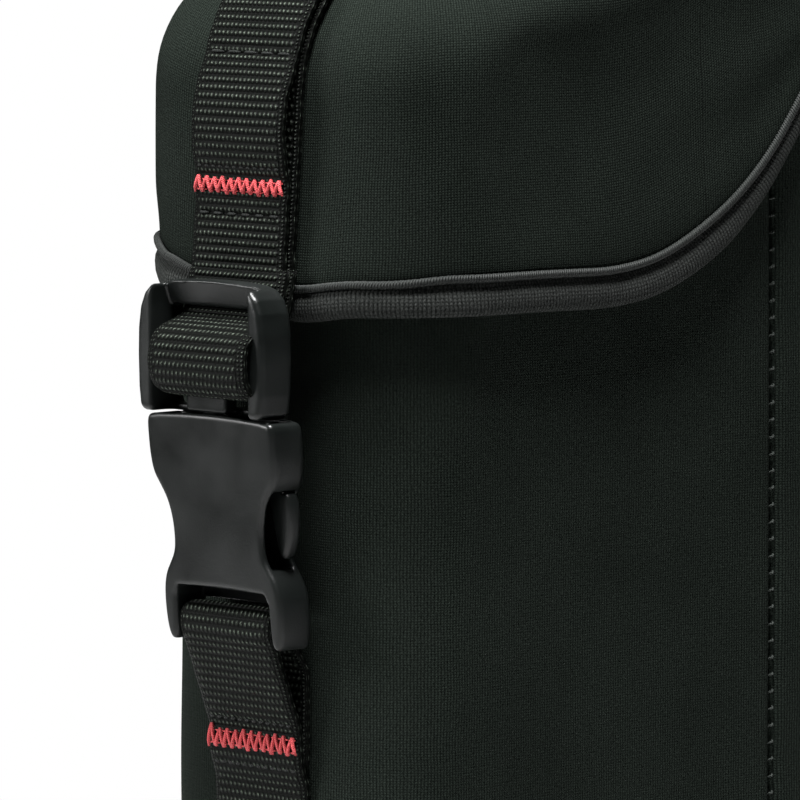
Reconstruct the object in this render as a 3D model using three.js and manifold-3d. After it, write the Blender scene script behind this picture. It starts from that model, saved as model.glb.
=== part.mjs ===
// Telescope carry case: a tall padded pouch with a hinged lid and a webbing strap that closes with a side-release
// buckle. Millimetres, +Z up. The origin is at the middle of the base, the strap and buckle are on the -Y side,
// and the large faces look along X.
import * as THREE from 'three';
import { mergeVertices } from 'three/addons/utils/BufferGeometryUtils.js';
import Module from 'manifold-3d';

const wasm = await Module();
wasm.setup();

// Driving dimensions
const GAP = 0.3; // between pieces that lie on each other
const LID_GAP = 0.5; // between the lid's layers, whose crown is curved
const BODY = { halfX: 37, front: -76, back: 76, radius: 23 };
const SEAM_Y = 21; // where the front wrap panel meets the back panel, on both large faces
const FABRIC = 1.2; // laminated outer fabric
const FOAM = 3; // padding of the walls, the base and the lid
const LINING = 0.8;
const BASE_PANEL = 1.6;
const BASE_BOARD = 1.5;
const BASE_INSET = 0.6;
const RIM_LOW = 213; // top of the walls at the front and along the sides
const RIM_HIGH = 235.3; // top of the wall at the back
const RIM_RISE = [12, 55]; // the stretch of Y over which the rim climbs
const BINDING = { height: 3, proud: 0.6 };

const LID = { halfX: 41, front: -80, back: 76.6, radius: 25 };
const HEM_Z = 176.3; // bottom of the lid's skirt at the front
const HEM_CURVE = { start: -32, radius: 72, straight: 24, end: 62, top: 240.6 };
const SHOULDER = { frontZ: 217, backZ: 245, from: 70, span: 146, power: 1.15, inset: 26 };
const CROWN = { top: 262, drop: 19, from: 60, span: 114, middleInset: 34 };
const SHOULDER_ANGLES = [18, 36, 54, 72, 90];
const HEM = { height: 5.5, thickness: 3.2, endY: 45 };
const PIPING = { radius: 0.7, above: 6.5, depth: 0.5 };
const SHELL_EDGE = 7.9; // the outer fabric starts this far above the hem's lower edge
const LINING_EDGE = 5.9;
const HINGE_BAND = { halfX: 34, low: 229, high: 247, clear: 0.35, thickness: 1 };

const WEB = { width: 25, thickness: 1.8 };
const STRAP_END_Z = 183; // where the lid's sewn strap ends and its free end begins
const LOOP = { low: 201, high: 222, bulge: 3 };
const OVER_END_Y = -41;
const UNDER_END_Y = 60;
const HANDLE = { front: -38, back: 48, foot: 12, rise: 20 };
const TACK = { width: 24, thickness: 0.6 };

const BUCKLE = { y: -88.1, front: -92, back: -84.2 };
const MALE = { top: 181.6, rootTop: 160, root: 157.4, halfX: 17, rail: 4.1 };
const FEMALE = { top: 157, cavityHalfX: 14.9, cavityHalfY: 2.5, cavityFloor: 129.6 };
const PRONG = { top: 157.1, tip: 131.5, thickness: 4.4 };

// Materials
const finish = (color, roughness) => new THREE.MeshStandardMaterial({ color, roughness, metalness: 0 });
const SKIN = () => finish(0x1b1f1d, 0.95);
const PAD = () => finish(0x2a2c2e, 1);
const INSIDE = () => finish(0x34373a, 0.9);
const TRIM = () => finish(0x1f2322, 0.9);
const WEBBING = () => finish(0x222622, 0.8);
const PLASTIC = () => finish(0x2c3130, 0.5);
const THREAD = () => finish(0xd84a50, 0.6);
const BOARD = () => finish(0x35373a, 0.7);

const point = (x, y, z) => new THREE.Vector3(x, y, z);
const clamp01 = (t) => Math.min(Math.max(t, 0), 1);
const smooth = (t) => clamp01(t) ** 2 * (3 - 2 * clamp01(t));
const radians = THREE.MathUtils.degToRad;

// A closed surface through sections with equal numbers of corners. Its ends are capped, or joined to each other.
function skin(sections, looped = false) {
  const count = sections[0].length;
  const corners = sections.flat();
  const triangles = [];
  const strips = looped ? sections.length : sections.length - 1;
  for (let s = 0; s < strips; s += 1) {
    const here = s * count;
    const next = ((s + 1) % sections.length) * count;
    for (let k = 0; k < count; k += 1) {
      const after = (k + 1) % count;
      triangles.push(here + k, here + after, next + after, here + k, next + after, next + k);
    }
  }
  if (!looped) {
    for (const [first, turn] of [[0, 1], [(sections.length - 1) * count, 0]]) {
      const middle = corners.length;
      const sum = point(0, 0, 0);
      for (let k = 0; k < count; k += 1) sum.add(corners[first + k]);
      corners.push(sum.divideScalar(count));
      for (let k = 0; k < count; k += 1) {
        const pair = [first + k, first + ((k + 1) % count)];
        triangles.push(middle, pair[turn], pair[1 - turn]);
      }
    }
  }
  if (volume(corners, triangles) < 0) triangles.reverse();
  const geometry = new THREE.BufferGeometry().setFromPoints(corners);
  geometry.setIndex(triangles);
  return geometry;
}

function volume(corners, triangles) {
  let total = 0;
  const side = new THREE.Vector3();
  for (let t = 0; t < triangles.length; t += 3) {
    side.crossVectors(corners[triangles[t + 1]], corners[triangles[t + 2]]);
    total += corners[triangles[t]].dot(side);
  }
  return total;
}

// Boolean work
function toSolid(geometry) {
  const plain = geometry.index ? geometry.toNonIndexed() : geometry.clone();
  plain.deleteAttribute('normal');
  plain.deleteAttribute('uv');
  const merged = mergeVertices(plain, 1e-4);
  return new wasm.Manifold(
    new wasm.Mesh({
      numProp: 3,
      vertProperties: merged.attributes.position.array,
      triVerts: merged.index.array,
    }),
  );
}

function toGeometry(solid) {
  const mesh = solid.getMesh();
  const geometry = new THREE.BufferGeometry();
  geometry.setAttribute('position', new THREE.BufferAttribute(mesh.vertProperties, 3));
  geometry.setIndex(new THREE.BufferAttribute(mesh.triVerts, 1));
  return geometry;
}

function block(low, high) {
  const box = new THREE.BoxGeometry(high[0] - low[0], high[1] - low[1], high[2] - low[2]);
  return box.translate((low[0] + high[0]) / 2, (low[1] + high[1]) / 2, (low[2] + high[2]) / 2);
}

// Half of a rounded footprint: from the middle of one large face, round the front (or the back), to the other.
// Each place has its position and its outward direction.
function wrap(plan, inset, stopY, atBack, steps = { side: 6, corner: 5, end: 2 }) {
  const way = atBack ? 1 : -1;
  const halfX = plan.halfX - inset;
  const endY = (atBack ? plan.back : plan.front) - way * inset;
  const radius = Math.max(plan.radius - 0.55 * inset, 1);
  const places = [];
  const cornerY = endY - way * radius;
  for (let k = 0; k < steps.side; k += 1) {
    places.push({ x: halfX, y: stopY + ((cornerY - stopY) * k) / steps.side, nx: 1, ny: 0 });
  }
  const quarter = [];
  for (let k = 0; k <= steps.corner; k += 1) {
    const angle = (Math.PI / 2) * (k / steps.corner);
    quarter.push({ nx: Math.cos(angle), ny: way * Math.sin(angle) });
  }
  const turned = (sign) => ({ nx, ny }) => ({
    x: sign * (halfX - radius + radius * nx),
    y: cornerY + radius * ny,
    nx: sign * nx,
    ny,
  });
  places.push(...quarter.map(turned(1)));
  for (let k = 1; k < steps.end; k += 1) {
    places.push({ x: (halfX - radius) * (1 - (2 * k) / steps.end), y: endY, nx: 0, ny: way });
  }
  places.push(...quarter.map(turned(-1)).reverse());
  for (let k = 1; k <= steps.side; k += 1) {
    places.push({ x: -halfX, y: cornerY + ((stopY - cornerY) * k) / steps.side, nx: -1, ny: 0 });
  }
  return places;
}

// The whole footprint, as one round of places
function round(plan, inset, stopY = 0, steps = undefined) {
  const front = wrap(plan, inset, stopY, false, steps);
  const back = wrap(plan, inset, stopY, true, steps).reverse();
  return [...front, ...back.slice(1, -1)];
}

const rimZ = (y) => {
  const [from, to] = RIM_RISE;
  return RIM_LOW + (RIM_HIGH - RIM_LOW) * smooth((y - from) / (to - from));
};

// The places of one of the body's two wall halves. All layers take the rim's height from the outer face.
function bodyPlaces(inset, atBack) {
  const stopY = SEAM_Y + (atBack ? GAP / 2 : -GAP / 2);
  const steps = { side: 6, corner: 6, end: 2 };
  const outer = wrap(BODY, 0, stopY, atBack, steps);
  return wrap(BODY, inset, stopY, atBack, steps).map((p, k) => ({ ...p, rim: rimZ(outer[k].y) }));
}

const bodyRound = (inset) => [...bodyPlaces(inset, false), ...bodyPlaces(inset, true).reverse()];

// A wall half between two insets, from a height up to the rim
function wall(atBack, outer, inner, low) {
  const inside = bodyPlaces(inner, atBack);
  const sections = bodyPlaces(outer, atBack).map((o, k) => {
    const i = inside[k];
    return [point(o.x, o.y, low), point(o.x, o.y, o.rim), point(i.x, i.y, o.rim), point(i.x, i.y, low)];
  });
  return skin(sections);
}

function plate(inset, low, high) {
  const level = (z) => bodyRound(inset).map((p) => point(p.x, p.y, z));
  return skin([level(low), level(high)]);
}

const foamInset = FABRIC + GAP;
const liningInset = foamInset + FOAM + GAP;
const wallLow = BASE_PANEL + GAP;
const baseFoamLow = wallLow + BASE_BOARD + GAP;
const liningLow = baseFoamLow + FOAM + GAP;

function liningCup() {
  const ring = (inset, height) => bodyRound(inset).map((p) => point(p.x, p.y, height ?? p.rim));
  const inner = liningInset + LINING;
  return skin([ring(inner, liningLow + LINING), ring(inner), ring(liningInset), ring(liningInset, liningLow)]);
}

// Tape folded over the rim of all the wall's layers
function mouthBinding() {
  const inside = bodyRound(liningInset + LINING + BINDING.proud);
  const sections = bodyRound(-BINDING.proud).map((o, k) => {
    const i = inside[k];
    const low = o.rim + GAP;
    const high = low + BINDING.height;
    return [point(o.x, o.y, low), point(o.x, o.y, high), point(i.x, i.y, high), point(i.x, i.y, low)];
  });
  return skin(sections, true);
}

// Lid: heights of the skirt's lower edge, of the shoulder's start and of the crown
function hemCurve(y) {
  const { start, radius, straight, end, top } = HEM_CURVE;
  const arc = (at) => HEM_Z + radius - Math.sqrt(radius ** 2 - (at - start) ** 2);
  if (y <= start) return { z: HEM_Z, slope: 0 };
  if (y <= straight) return { z: arc(y), slope: (y - start) / Math.sqrt(radius ** 2 - (y - start) ** 2) };
  if (y >= end) return { z: top, slope: 0 };
  const span = end - straight;
  const t = (y - straight) / span;
  const from = hemCurve(straight);
  const rise = top - from.z;
  const lead = from.slope * span;
  return {
    z: from.z + lead * (t - 2 * t ** 2 + t ** 3) + rise * (3 * t ** 2 - 2 * t ** 3),
    slope: (lead * (1 - 4 * t + 3 * t ** 2) + rise * (6 * t - 6 * t ** 2)) / span,
  };
}

// The height of a line parallel to the hem. Near the hinge the skirt has no hem, and the line comes down to it.
function aboveHem(y, distance) {
  const { z, slope } = hemCurve(y);
  const fade = 1 - smooth((y - HEM.endY - 1) / 10);
  return z + distance * fade * Math.hypot(1, slope);
}

const shoulderZ = (y) => {
  const share = clamp01((SHOULDER.from - y) / SHOULDER.span) ** SHOULDER.power;
  return SHOULDER.backZ - (SHOULDER.backZ - SHOULDER.frontZ) * share;
};

const crownZ = (y) => CROWN.top - CROWN.drop * clamp01((CROWN.from - y) / CROWN.span) ** 2;

const lidMiddle = (LID.front + LID.back) / 2;

// Rings of a surface that lies inside the lid's outer face, from its lower edge up to the crown.
// depths has one depth for each level: lower edge, middle of the skirt, shoulder, shoulder angles, crown.
function lidRings(depths, edge) {
  const levels = [
    { inset: 0, at: (y) => aboveHem(y, edge) },
    { inset: 0, at: (y) => (aboveHem(y, edge) + shoulderZ(y)) / 2 },
    { inset: 0, at: shoulderZ },
    ...SHOULDER_ANGLES.map((degrees) => {
      const angle = radians(degrees);
      return {
        inset: SHOULDER.inset * (1 - Math.cos(angle)),
        at: (y) => shoulderZ(y) + (crownZ(y) - shoulderZ(y)) * Math.sin(angle),
        drop: Math.sin(angle),
      };
    }),
    { inset: CROWN.middleInset, at: crownZ, drop: 1 },
  ];
  const own = round(LID, 0, lidMiddle);
  return levels.map(({ inset, at, drop = 0 }, k) => {
    const places = round(LID, inset + depths[k] * (k === levels.length - 1 ? 0 : 1), lidMiddle);
    return places.map((p, n) => {
      const heightAt = inset > 0 ? p.y : own[n].y;
      return point(p.x, p.y, at(heightAt) - depths[k] * drop);
    });
  });
}

const everyLevel = (depth) => Array(SHOULDER_ANGLES.length + 4).fill(depth);
const overFoam = FABRIC + LID_GAP;
const underFoam = overFoam + FOAM + LID_GAP;
const beyondSkirt = (skirt, top) => [skirt, skirt, skirt, ...Array(SHOULDER_ANGLES.length + 1).fill(top)];

function lidShell() {
  const outside = lidRings(everyLevel(0), SHELL_EDGE);
  const inside = lidRings(everyLevel(FABRIC), SHELL_EDGE);
  return skin([...outside.reverse(), ...inside]);
}

function lidLining() {
  const skirt = FABRIC + GAP;
  const outside = lidRings(beyondSkirt(skirt, underFoam), LINING_EDGE);
  const inside = lidRings(beyondSkirt(skirt + LINING, underFoam + LINING), LINING_EDGE);
  return skin([...outside.reverse(), ...inside]);
}

// The pad lies between the lid's fabric and its lining, over the crown and the upper shoulder
function lidFoam() {
  const lowest = 4;
  const outside = lidRings(everyLevel(overFoam), SHELL_EDGE).slice(lowest);
  const inside = lidRings(everyLevel(overFoam + FOAM), SHELL_EDGE).slice(lowest);
  return skin([...outside.reverse(), ...inside]);
}

// A bar of the given section along the skirt's edge, from one side of the hinge round the front to the other.
// The section is [outward, up] pairs, where up is square to the edge.
function alongHem(section) {
  const steps = { side: 10, corner: 6, end: 2 };
  const places = wrap(LID, 0, HEM.endY, false, steps);
  const sections = places.map((p) => {
    const { z, slope } = hemCurve(p.y);
    const lean = Math.atan(slope);
    return section.map(([out, up]) => {
      const back = -up * Math.sin(lean) * Math.abs(p.nx);
      return point(p.x + p.nx * out, p.y + p.ny * out + back, z + up * Math.cos(lean));
    });
  });
  return skin(sections);
}

function hemBinding() {
  const { height, thickness } = HEM;
  return alongHem([
    [-0.7, 0], [-0.1, 0.7], [0, height / 2], [-0.1, height - 0.5],
    [-thickness + 0.2, height - 0.2], [-thickness, height / 2], [-thickness + 0.2, 0.6], [-thickness + 0.9, 0],
  ]);
}

function piping() {
  const sides = 6;
  const circle = Array.from({ length: sides }, (_, k) => {
    const angle = (2 * Math.PI * k) / sides;
    return [
      -PIPING.depth + PIPING.radius * Math.cos(angle),
      PIPING.above + PIPING.radius * Math.sin(angle),
    ];
  });
  return alongHem(circle);
}

// The fabric hinge: a band over the joint of the lid and the back wall, round the back's corners
function hingeBand() {
  const { halfX, low, high, clear, thickness } = HINGE_BAND;
  const steps = { side: 6, corner: 8, end: 2 };
  const near = wrap(LID, 0, lidMiddle, true, steps).filter((p) => Math.abs(p.x) < halfX && p.ny > 0);
  const sections = near.map((p) => {
    const at = (out, z) => point(p.x + p.nx * out, p.y + p.ny * out, z);
    const outer = clear + thickness;
    return [at(clear, low), at(outer, low), at(outer, high), at(clear, high)];
  });
  return skin(sections);
}

// Webbing: a flat band whose middle follows a line of [y, z] places
function band(line, width = WEB.width, thickness = WEB.thickness) {
  const sections = line.map(([y, z], k) => {
    const [y0, z0] = line[Math.max(k - 1, 0)];
    const [y1, z1] = line[Math.min(k + 1, line.length - 1)];
    const length = Math.hypot(y1 - y0, z1 - z0);
    const ny = -(z1 - z0) / length;
    const nz = (y1 - y0) / length;
    const half = thickness / 2;
    return [[-1, -1], [1, -1], [1, 1], [-1, 1]].map(([side, face]) =>
      point((side * width) / 2, y + ny * half * face, z + nz * half * face),
    );
  });
  return skin(sections);
}

// A line over the lid's front, shoulder and crown, at a height above its outer face
function overLid(height, endY, bulge = () => 0) {
  const line = [];
  const steps = 8;
  for (let k = 0; k <= steps; k += 1) {
    const z = STRAP_END_Z + ((shoulderZ(LID.front) - STRAP_END_Z) * k) / steps;
    line.push([LID.front - height - bulge(z), z]);
  }
  for (const degrees of SHOULDER_ANGLES) {
    const angle = radians(degrees);
    const y = LID.front + SHOULDER.inset * (1 - Math.cos(angle));
    const z = shoulderZ(y) + (crownZ(y) - shoulderZ(y)) * Math.sin(angle);
    const out = height + bulge(z);
    line.push([y - out * Math.cos(angle), z + out * Math.sin(angle)]);
  }
  const crownFrom = LID.front + SHOULDER.inset;
  const crownSteps = Math.ceil((endY - crownFrom) / 9);
  for (let k = 1; k <= crownSteps; k += 1) {
    const y = crownFrom + ((endY - crownFrom) * k) / crownSteps;
    line.push([y, crownZ(y) + height]);
  }
  return line;
}

const underHeight = GAP + WEB.thickness / 2 + 0.1;
const overHeight = underHeight + WEB.thickness + GAP;
const loopBulge = (z) => {
  const t = (z - LOOP.low) / (LOOP.high - LOOP.low);
  return t > 0 && t < 1 ? LOOP.bulge * Math.sin(Math.PI * t) : 0;
};

function handle() {
  const { front, back, foot, rise } = HANDLE;
  const line = [];
  const steps = 20;
  const archFrom = front + foot;
  const archTo = back - foot;
  line.push([front, crownZ(front) + overHeight], [front + foot / 2, crownZ(front + foot / 2) + overHeight]);
  for (let k = 0; k <= steps; k += 1) {
    const t = k / steps;
    const y = archFrom + (archTo - archFrom) * t;
    const lift = rise * (1 - Math.abs(2 * t - 1) ** 2.6);
    line.push([y, crownZ(y) + overHeight + lift]);
  }
  line.push([back - foot / 2, crownZ(back - foot / 2) + overHeight], [back, crownZ(back) + overHeight]);
  return band(line);
}

function handleTack(y) {
  const top = (at) => crownZ(at) + overHeight + WEB.thickness / 2 + GAP + TACK.thickness / 2;
  return band([[y - 2, top(y - 2)], [y + 2, top(y + 2)]], TACK.width, TACK.thickness);
}

// The strap's free end: two layers below the hem, folded round the male half's webbing bar
const strapTab = () =>
  band([
    [-83.5, 182.2], [-84.7, 180], [-85.5, 177.6], [-86.2, 175.6], [-88.4, 173.2], [-90.8, 171.2], [-91.9, 168.6],
    [-92, 166], [-91.7, 163.6], [-90.4, 162.3], [-88.6, 162], [-86.9, 162.6], [-86, 164.2], [-85.4, 167],
    [-84.4, 171], [-83.3, 175], [-82.3, 179], [-81.5, 182.2],
  ]);

// The lower strap runs up from the base seam, out to the female half, over its bar and back down to the body
const lowerWebbing = () =>
  band([
    [-77.2, 3.5], [-77.2, 45], [-77.2, 86], [-77.5, 88.6], [-79.2, 91.6], [-79.4, 94], [-79.5, 98.5],
    [-81.7, 102.2], [-85.6, 108.5], [-89.3, 114.6], [-91.2, 118], [-91.4, 119.8], [-90.6, 121.6], [-88.3, 122.6],
    [-86, 122], [-85, 120.4], [-84.5, 118.4], [-82.2, 115.6], [-79.2, 113], [-77.5, 110.4], [-77.2, 107.5],
    [-77.2, 99], [-77.2, 92.6],
  ]);

// Plastic bars with rounded edges, upright along Z or lying along X
function bar(section, low, high, along) {
  const { left, right, front, back, round: r } = section;
  const shape = new THREE.Shape();
  shape.moveTo(left + r, front);
  shape.lineTo(right - r, front);
  shape.absarc(right - r, front + r, r, -Math.PI / 2, 0);
  shape.lineTo(right, back - r);
  shape.absarc(right - r, back - r, r, 0, Math.PI / 2);
  shape.lineTo(left + r, back);
  shape.absarc(left + r, back - r, r, Math.PI / 2, Math.PI);
  shape.lineTo(left, front + r);
  shape.absarc(left + r, front + r, r, Math.PI, 1.5 * Math.PI);
  const geometry = new THREE.ExtrudeGeometry(shape, { depth: high - low, bevelEnabled: false, curveSegments: 3 });
  geometry.translate(0, 0, low);
  if (along === 'x') {
    geometry.applyMatrix4(new THREE.Matrix4().set(0, 0, 1, 0, 0, 1, 0, 0, -1, 0, 0, 0, 0, 0, 0, 1));
  }
  return toSolid(geometry);
}

// Bars that lie along X take their section's first axis downwards
const level = (bottom, top, front, back, edge) => ({ left: -top, right: -bottom, front, back, round: edge });

function buckleMale() {
  const { halfX, rail, top, rootTop, root } = MALE;
  const inner = halfX - rail + 0.4;
  let solid = bar({ left: halfX - rail, right: halfX, front: -93, back: -85.6, round: 1.6 }, root, top, 'z');
  const pieces = [
    bar({ left: -halfX, right: rail - halfX, front: -93, back: -85.6, round: 1.6 }, root, top, 'z'),
    bar(level(177.4, top, -89.2, -86.9, 0.6), -inner, inner, 'x'),
    bar(level(164, 168.6, -90.7, -87.5, 1.1), -inner, inner, 'x'),
    bar(level(root, rootTop, -92, -85.4, 0.9), -halfX + 0.6, halfX - 0.6, 'x'),
    toSolid(block([-2.2, -90, 134], [2.2, -86.2, root + 0.5])),
  ];
  for (const piece of pieces) solid = solid.add(piece);
  return toGeometry(solid);
}

function buckleProng(side) {
  const outline = new THREE.Shape();
  const corners = [
    [10.6, PRONG.top], [13.6, PRONG.top], [13.9, 145.4], [14.4, 144.1], [16.1, 144.1], [16.6, 139.5],
    [15.8, 134.6], [14.4, PRONG.tip], [13.2, PRONG.tip], [12.3, 135], [11.4, 141], [11, 147],
  ];
  corners.forEach(([x, z], k) => (k ? outline.lineTo(side * x, z) : outline.moveTo(side * x, z)));
  const geometry = new THREE.ExtrudeGeometry(outline, { depth: PRONG.thickness, bevelEnabled: false });
  geometry.rotateX(Math.PI / 2);
  geometry.translate(0, BUCKLE.y + PRONG.thickness / 2, 0);
  return toGeometry(toSolid(geometry));
}

// Half of the female half's outline, from the middle of its top edge down one side
const FEMALE_SIDE = [
  [15.4, 157], [16.3, 156], [16.5, 150], [15.8, 146], [14, 143.6], [12, 139], [11.4, 135], [11.7, 131.4],
  [13.2, 128.6], [14.6, 126], [14.8, 121], [13.8, 115.2], [12.9, 114.6],
];

function buckleFemale() {
  const edge = 0.9;
  const outline = new THREE.Shape();
  outline.moveTo(0, FEMALE.top - edge);
  const right = FEMALE_SIDE.map(([x, z]) => [x, Math.min(z, FEMALE.top - edge)]);
  for (const [x, z] of right) outline.lineTo(x, z);
  for (const [x, z] of [...right].reverse()) outline.lineTo(-x, z);
  const body = new THREE.ExtrudeGeometry(outline, {
    depth: BUCKLE.back - BUCKLE.front - 2 * edge,
    bevelThickness: edge,
    bevelSize: edge,
    bevelSegments: 2,
  });
  body.rotateX(Math.PI / 2);
  body.translate(0, BUCKLE.back - edge, 0);
  const { cavityHalfX, cavityHalfY, cavityFloor } = FEMALE;
  const front = BUCKLE.y - cavityHalfY;
  const back = BUCKLE.y + cavityHalfY;
  const cuts = [
    block([-cavityHalfX, front, cavityFloor], [cavityHalfX, back, FEMALE.top + 1]),
    block([-20, front, 129.9], [20, back, 144.4]),
    block([-12.8, BUCKLE.front - 1, 112], [12.8, BUCKLE.back + 1, 126.2]),
  ];
  let solid = toSolid(body);
  for (const cut of cuts) solid = solid.subtract(toSolid(cut));
  solid = solid.add(bar(level(117, 121.1, -89.7, -86.5, 1), -13.4, 13.4, 'x'));
  return toGeometry(solid);
}

// The finished case
const part = new THREE.Group();

function add(name, geometry, material) {
  const mesh = new THREE.Mesh(geometry, material);
  mesh.name = name;
  part.add(mesh);
}

add('front_panel', wall(false, 0, FABRIC, wallLow), SKIN());
add('back_panel', wall(true, 0, FABRIC, wallLow), SKIN());
add('front_foam', wall(false, foamInset, foamInset + FOAM, liningLow), PAD());
add('back_foam', wall(true, foamInset, foamInset + FOAM, liningLow), PAD());
add('base_panel', plate(BASE_INSET, 0, BASE_PANEL), SKIN());
add('base_board', plate(foamInset, wallLow, wallLow + BASE_BOARD), BOARD());
add('base_foam', plate(foamInset, baseFoamLow, baseFoamLow + FOAM), PAD());
add('body_lining', liningCup(), INSIDE());
add('mouth_binding', mouthBinding(), TRIM());
add('lower_webbing', lowerWebbing(), WEBBING());
add('lower_bar_tack', block([-12, -81.3, 94.2], [12, -80.7, 98.2]), THREAD());
add('hinge_band', hingeBand(), TRIM());
add('buckle_female', buckleFemale(), PLASTIC());

add('lid_shell', lidShell(), SKIN());
add('lid_foam', lidFoam(), PAD());
add('lid_lining', lidLining(), INSIDE());
add('lid_hem_binding', hemBinding(), TRIM());
add('lid_piping', piping(), TRIM());
add('lid_strap_under', band(overLid(underHeight, UNDER_END_Y)), WEBBING());
add('lid_strap_over', band(overLid(overHeight, OVER_END_Y, loopBulge)), WEBBING());
add('upper_bar_tack', block([-12, -85.3, 197.7], [12, -84.7, 200.7]), THREAD());
add('top_handle', handle(), WEBBING());
add('handle_tack_front', handleTack(HANDLE.front + HANDLE.foot / 2), THREAD());
add('handle_tack_back', handleTack(HANDLE.back - HANDLE.foot / 2), THREAD());

add('strap_tab', strapTab(), WEBBING());
add('buckle_male', buckleMale(), PLASTIC());
add('buckle_prong_left', buckleProng(-1), PLASTIC());
add('buckle_prong_right', buckleProng(1), PLASTIC());

export default part;
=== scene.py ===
# Telescope carry case: a tall padded pouch whose hinged lid is held down by a webbing strap and a
# side-release buckle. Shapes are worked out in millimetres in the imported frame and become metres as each
# piece is made. The strap and buckle are on the -Y side, the fabric hinge on the +Y side, and the large
# faces look along X.
import math
import random

import bmesh
import bpy
import numpy as np
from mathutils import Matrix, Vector, noise


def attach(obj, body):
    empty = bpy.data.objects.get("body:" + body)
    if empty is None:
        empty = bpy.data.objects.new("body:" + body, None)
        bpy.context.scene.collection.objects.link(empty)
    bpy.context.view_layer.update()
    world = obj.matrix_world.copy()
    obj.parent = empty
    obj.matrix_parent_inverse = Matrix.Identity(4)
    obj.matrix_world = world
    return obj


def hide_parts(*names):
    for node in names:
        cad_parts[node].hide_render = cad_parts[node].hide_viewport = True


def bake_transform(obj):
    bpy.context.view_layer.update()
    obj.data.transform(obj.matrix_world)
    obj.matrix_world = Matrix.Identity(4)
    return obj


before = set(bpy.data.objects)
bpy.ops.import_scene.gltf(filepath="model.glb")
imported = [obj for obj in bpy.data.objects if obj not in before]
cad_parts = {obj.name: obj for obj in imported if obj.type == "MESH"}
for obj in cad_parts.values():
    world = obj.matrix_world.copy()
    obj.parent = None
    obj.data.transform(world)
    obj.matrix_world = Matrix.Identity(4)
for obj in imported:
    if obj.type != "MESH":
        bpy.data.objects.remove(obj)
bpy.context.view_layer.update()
MM = 0.001

# ---------------------------------------------------------------- camera, lights and floor


def aim(thing, at):
    thing.rotation_euler = (Vector(at) - thing.location).to_track_quat("-Z", "Y").to_euler()


def place_camera():
    lens = bpy.data.cameras.new("camera")
    lens.lens, lens.sensor_width, lens.clip_end = 355.5, 36.0, 20.0
    camera = bpy.data.objects.new("camera", lens)
    bpy.context.collection.objects.link(camera)
    target = Vector((0.021, -0.0615, 0.160))
    azimuth, elevation, distance = math.radians(47.0), math.radians(5.1), 1.457
    away = Vector((math.sin(azimuth) * math.cos(elevation), -math.cos(azimuth) * math.cos(elevation),
                   math.sin(elevation)))
    camera.location = target + away * distance
    aim(camera, target)
    bpy.context.scene.camera = camera


def soft_light(name, location, at, size, power):
    lamp = bpy.data.lights.new(name, "AREA")
    lamp.shape, lamp.size, lamp.energy = "DISK", size, power
    light = bpy.data.objects.new(name, lamp)
    bpy.context.collection.objects.link(light)
    light.location = location
    aim(light, at)


def studio():
    bpy.context.scene.view_settings.view_transform = "Standard"
    world = bpy.data.worlds.new("studio")
    bpy.context.scene.world = world
    world.use_nodes = True
    tree = world.node_tree
    fill = tree.nodes["Background"]
    fill.inputs["Color"].default_value = (1, 1, 1, 1)
    fill.inputs["Strength"].default_value = 0.025
    backdrop = tree.nodes.new("ShaderNodeBackground")
    backdrop.inputs["Color"].default_value = (1, 1, 1, 1)
    choice = tree.nodes.new("ShaderNodeMixShader")
    ray = tree.nodes.new("ShaderNodeLightPath")
    tree.links.new(ray.outputs["Is Camera Ray"], choice.inputs[0])
    tree.links.new(fill.outputs[0], choice.inputs[1])
    tree.links.new(backdrop.outputs[0], choice.inputs[2])
    tree.links.new(choice.outputs[0], tree.nodes["World Output"].inputs["Surface"])
    middle = (0, 0, 0.16)
    soft_light("overhead", (0.19, -0.22, 1.25), middle, 0.5, 62)
    soft_light("left_front", (-0.95, -1.2, 0.7), middle, 0.7, 34)
    soft_light("back", (0.0, 1.6, 0.9), middle, 0.8, 12)
    mesh = bpy.data.meshes.new("floor")
    shape = bmesh.new()
    bmesh.ops.create_circle(shape, cap_ends=True, segments=96, radius=0.5)
    shape.to_mesh(mesh)
    shape.free()
    floor = bpy.data.objects.new("floor", mesh)
    floor.location.z = -0.0004
    bpy.context.collection.objects.link(floor)
    paint = bpy.data.materials.new("floor_paint")
    paint.use_nodes = True
    shader = paint.node_tree.nodes["Principled BSDF"]
    shader.inputs["Base Color"].default_value = (0.45, 0.45, 0.45, 1)
    shader.inputs["Roughness"].default_value = 0.8
    mesh.materials.append(paint)


place_camera()
studio()

# ---------------------------------------------------------------- material tools

WEAVE_ROW, WEAVE_COLUMN = 1.5, 1.15  # spacing of the webbing's rows, and of the floats along a row


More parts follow.
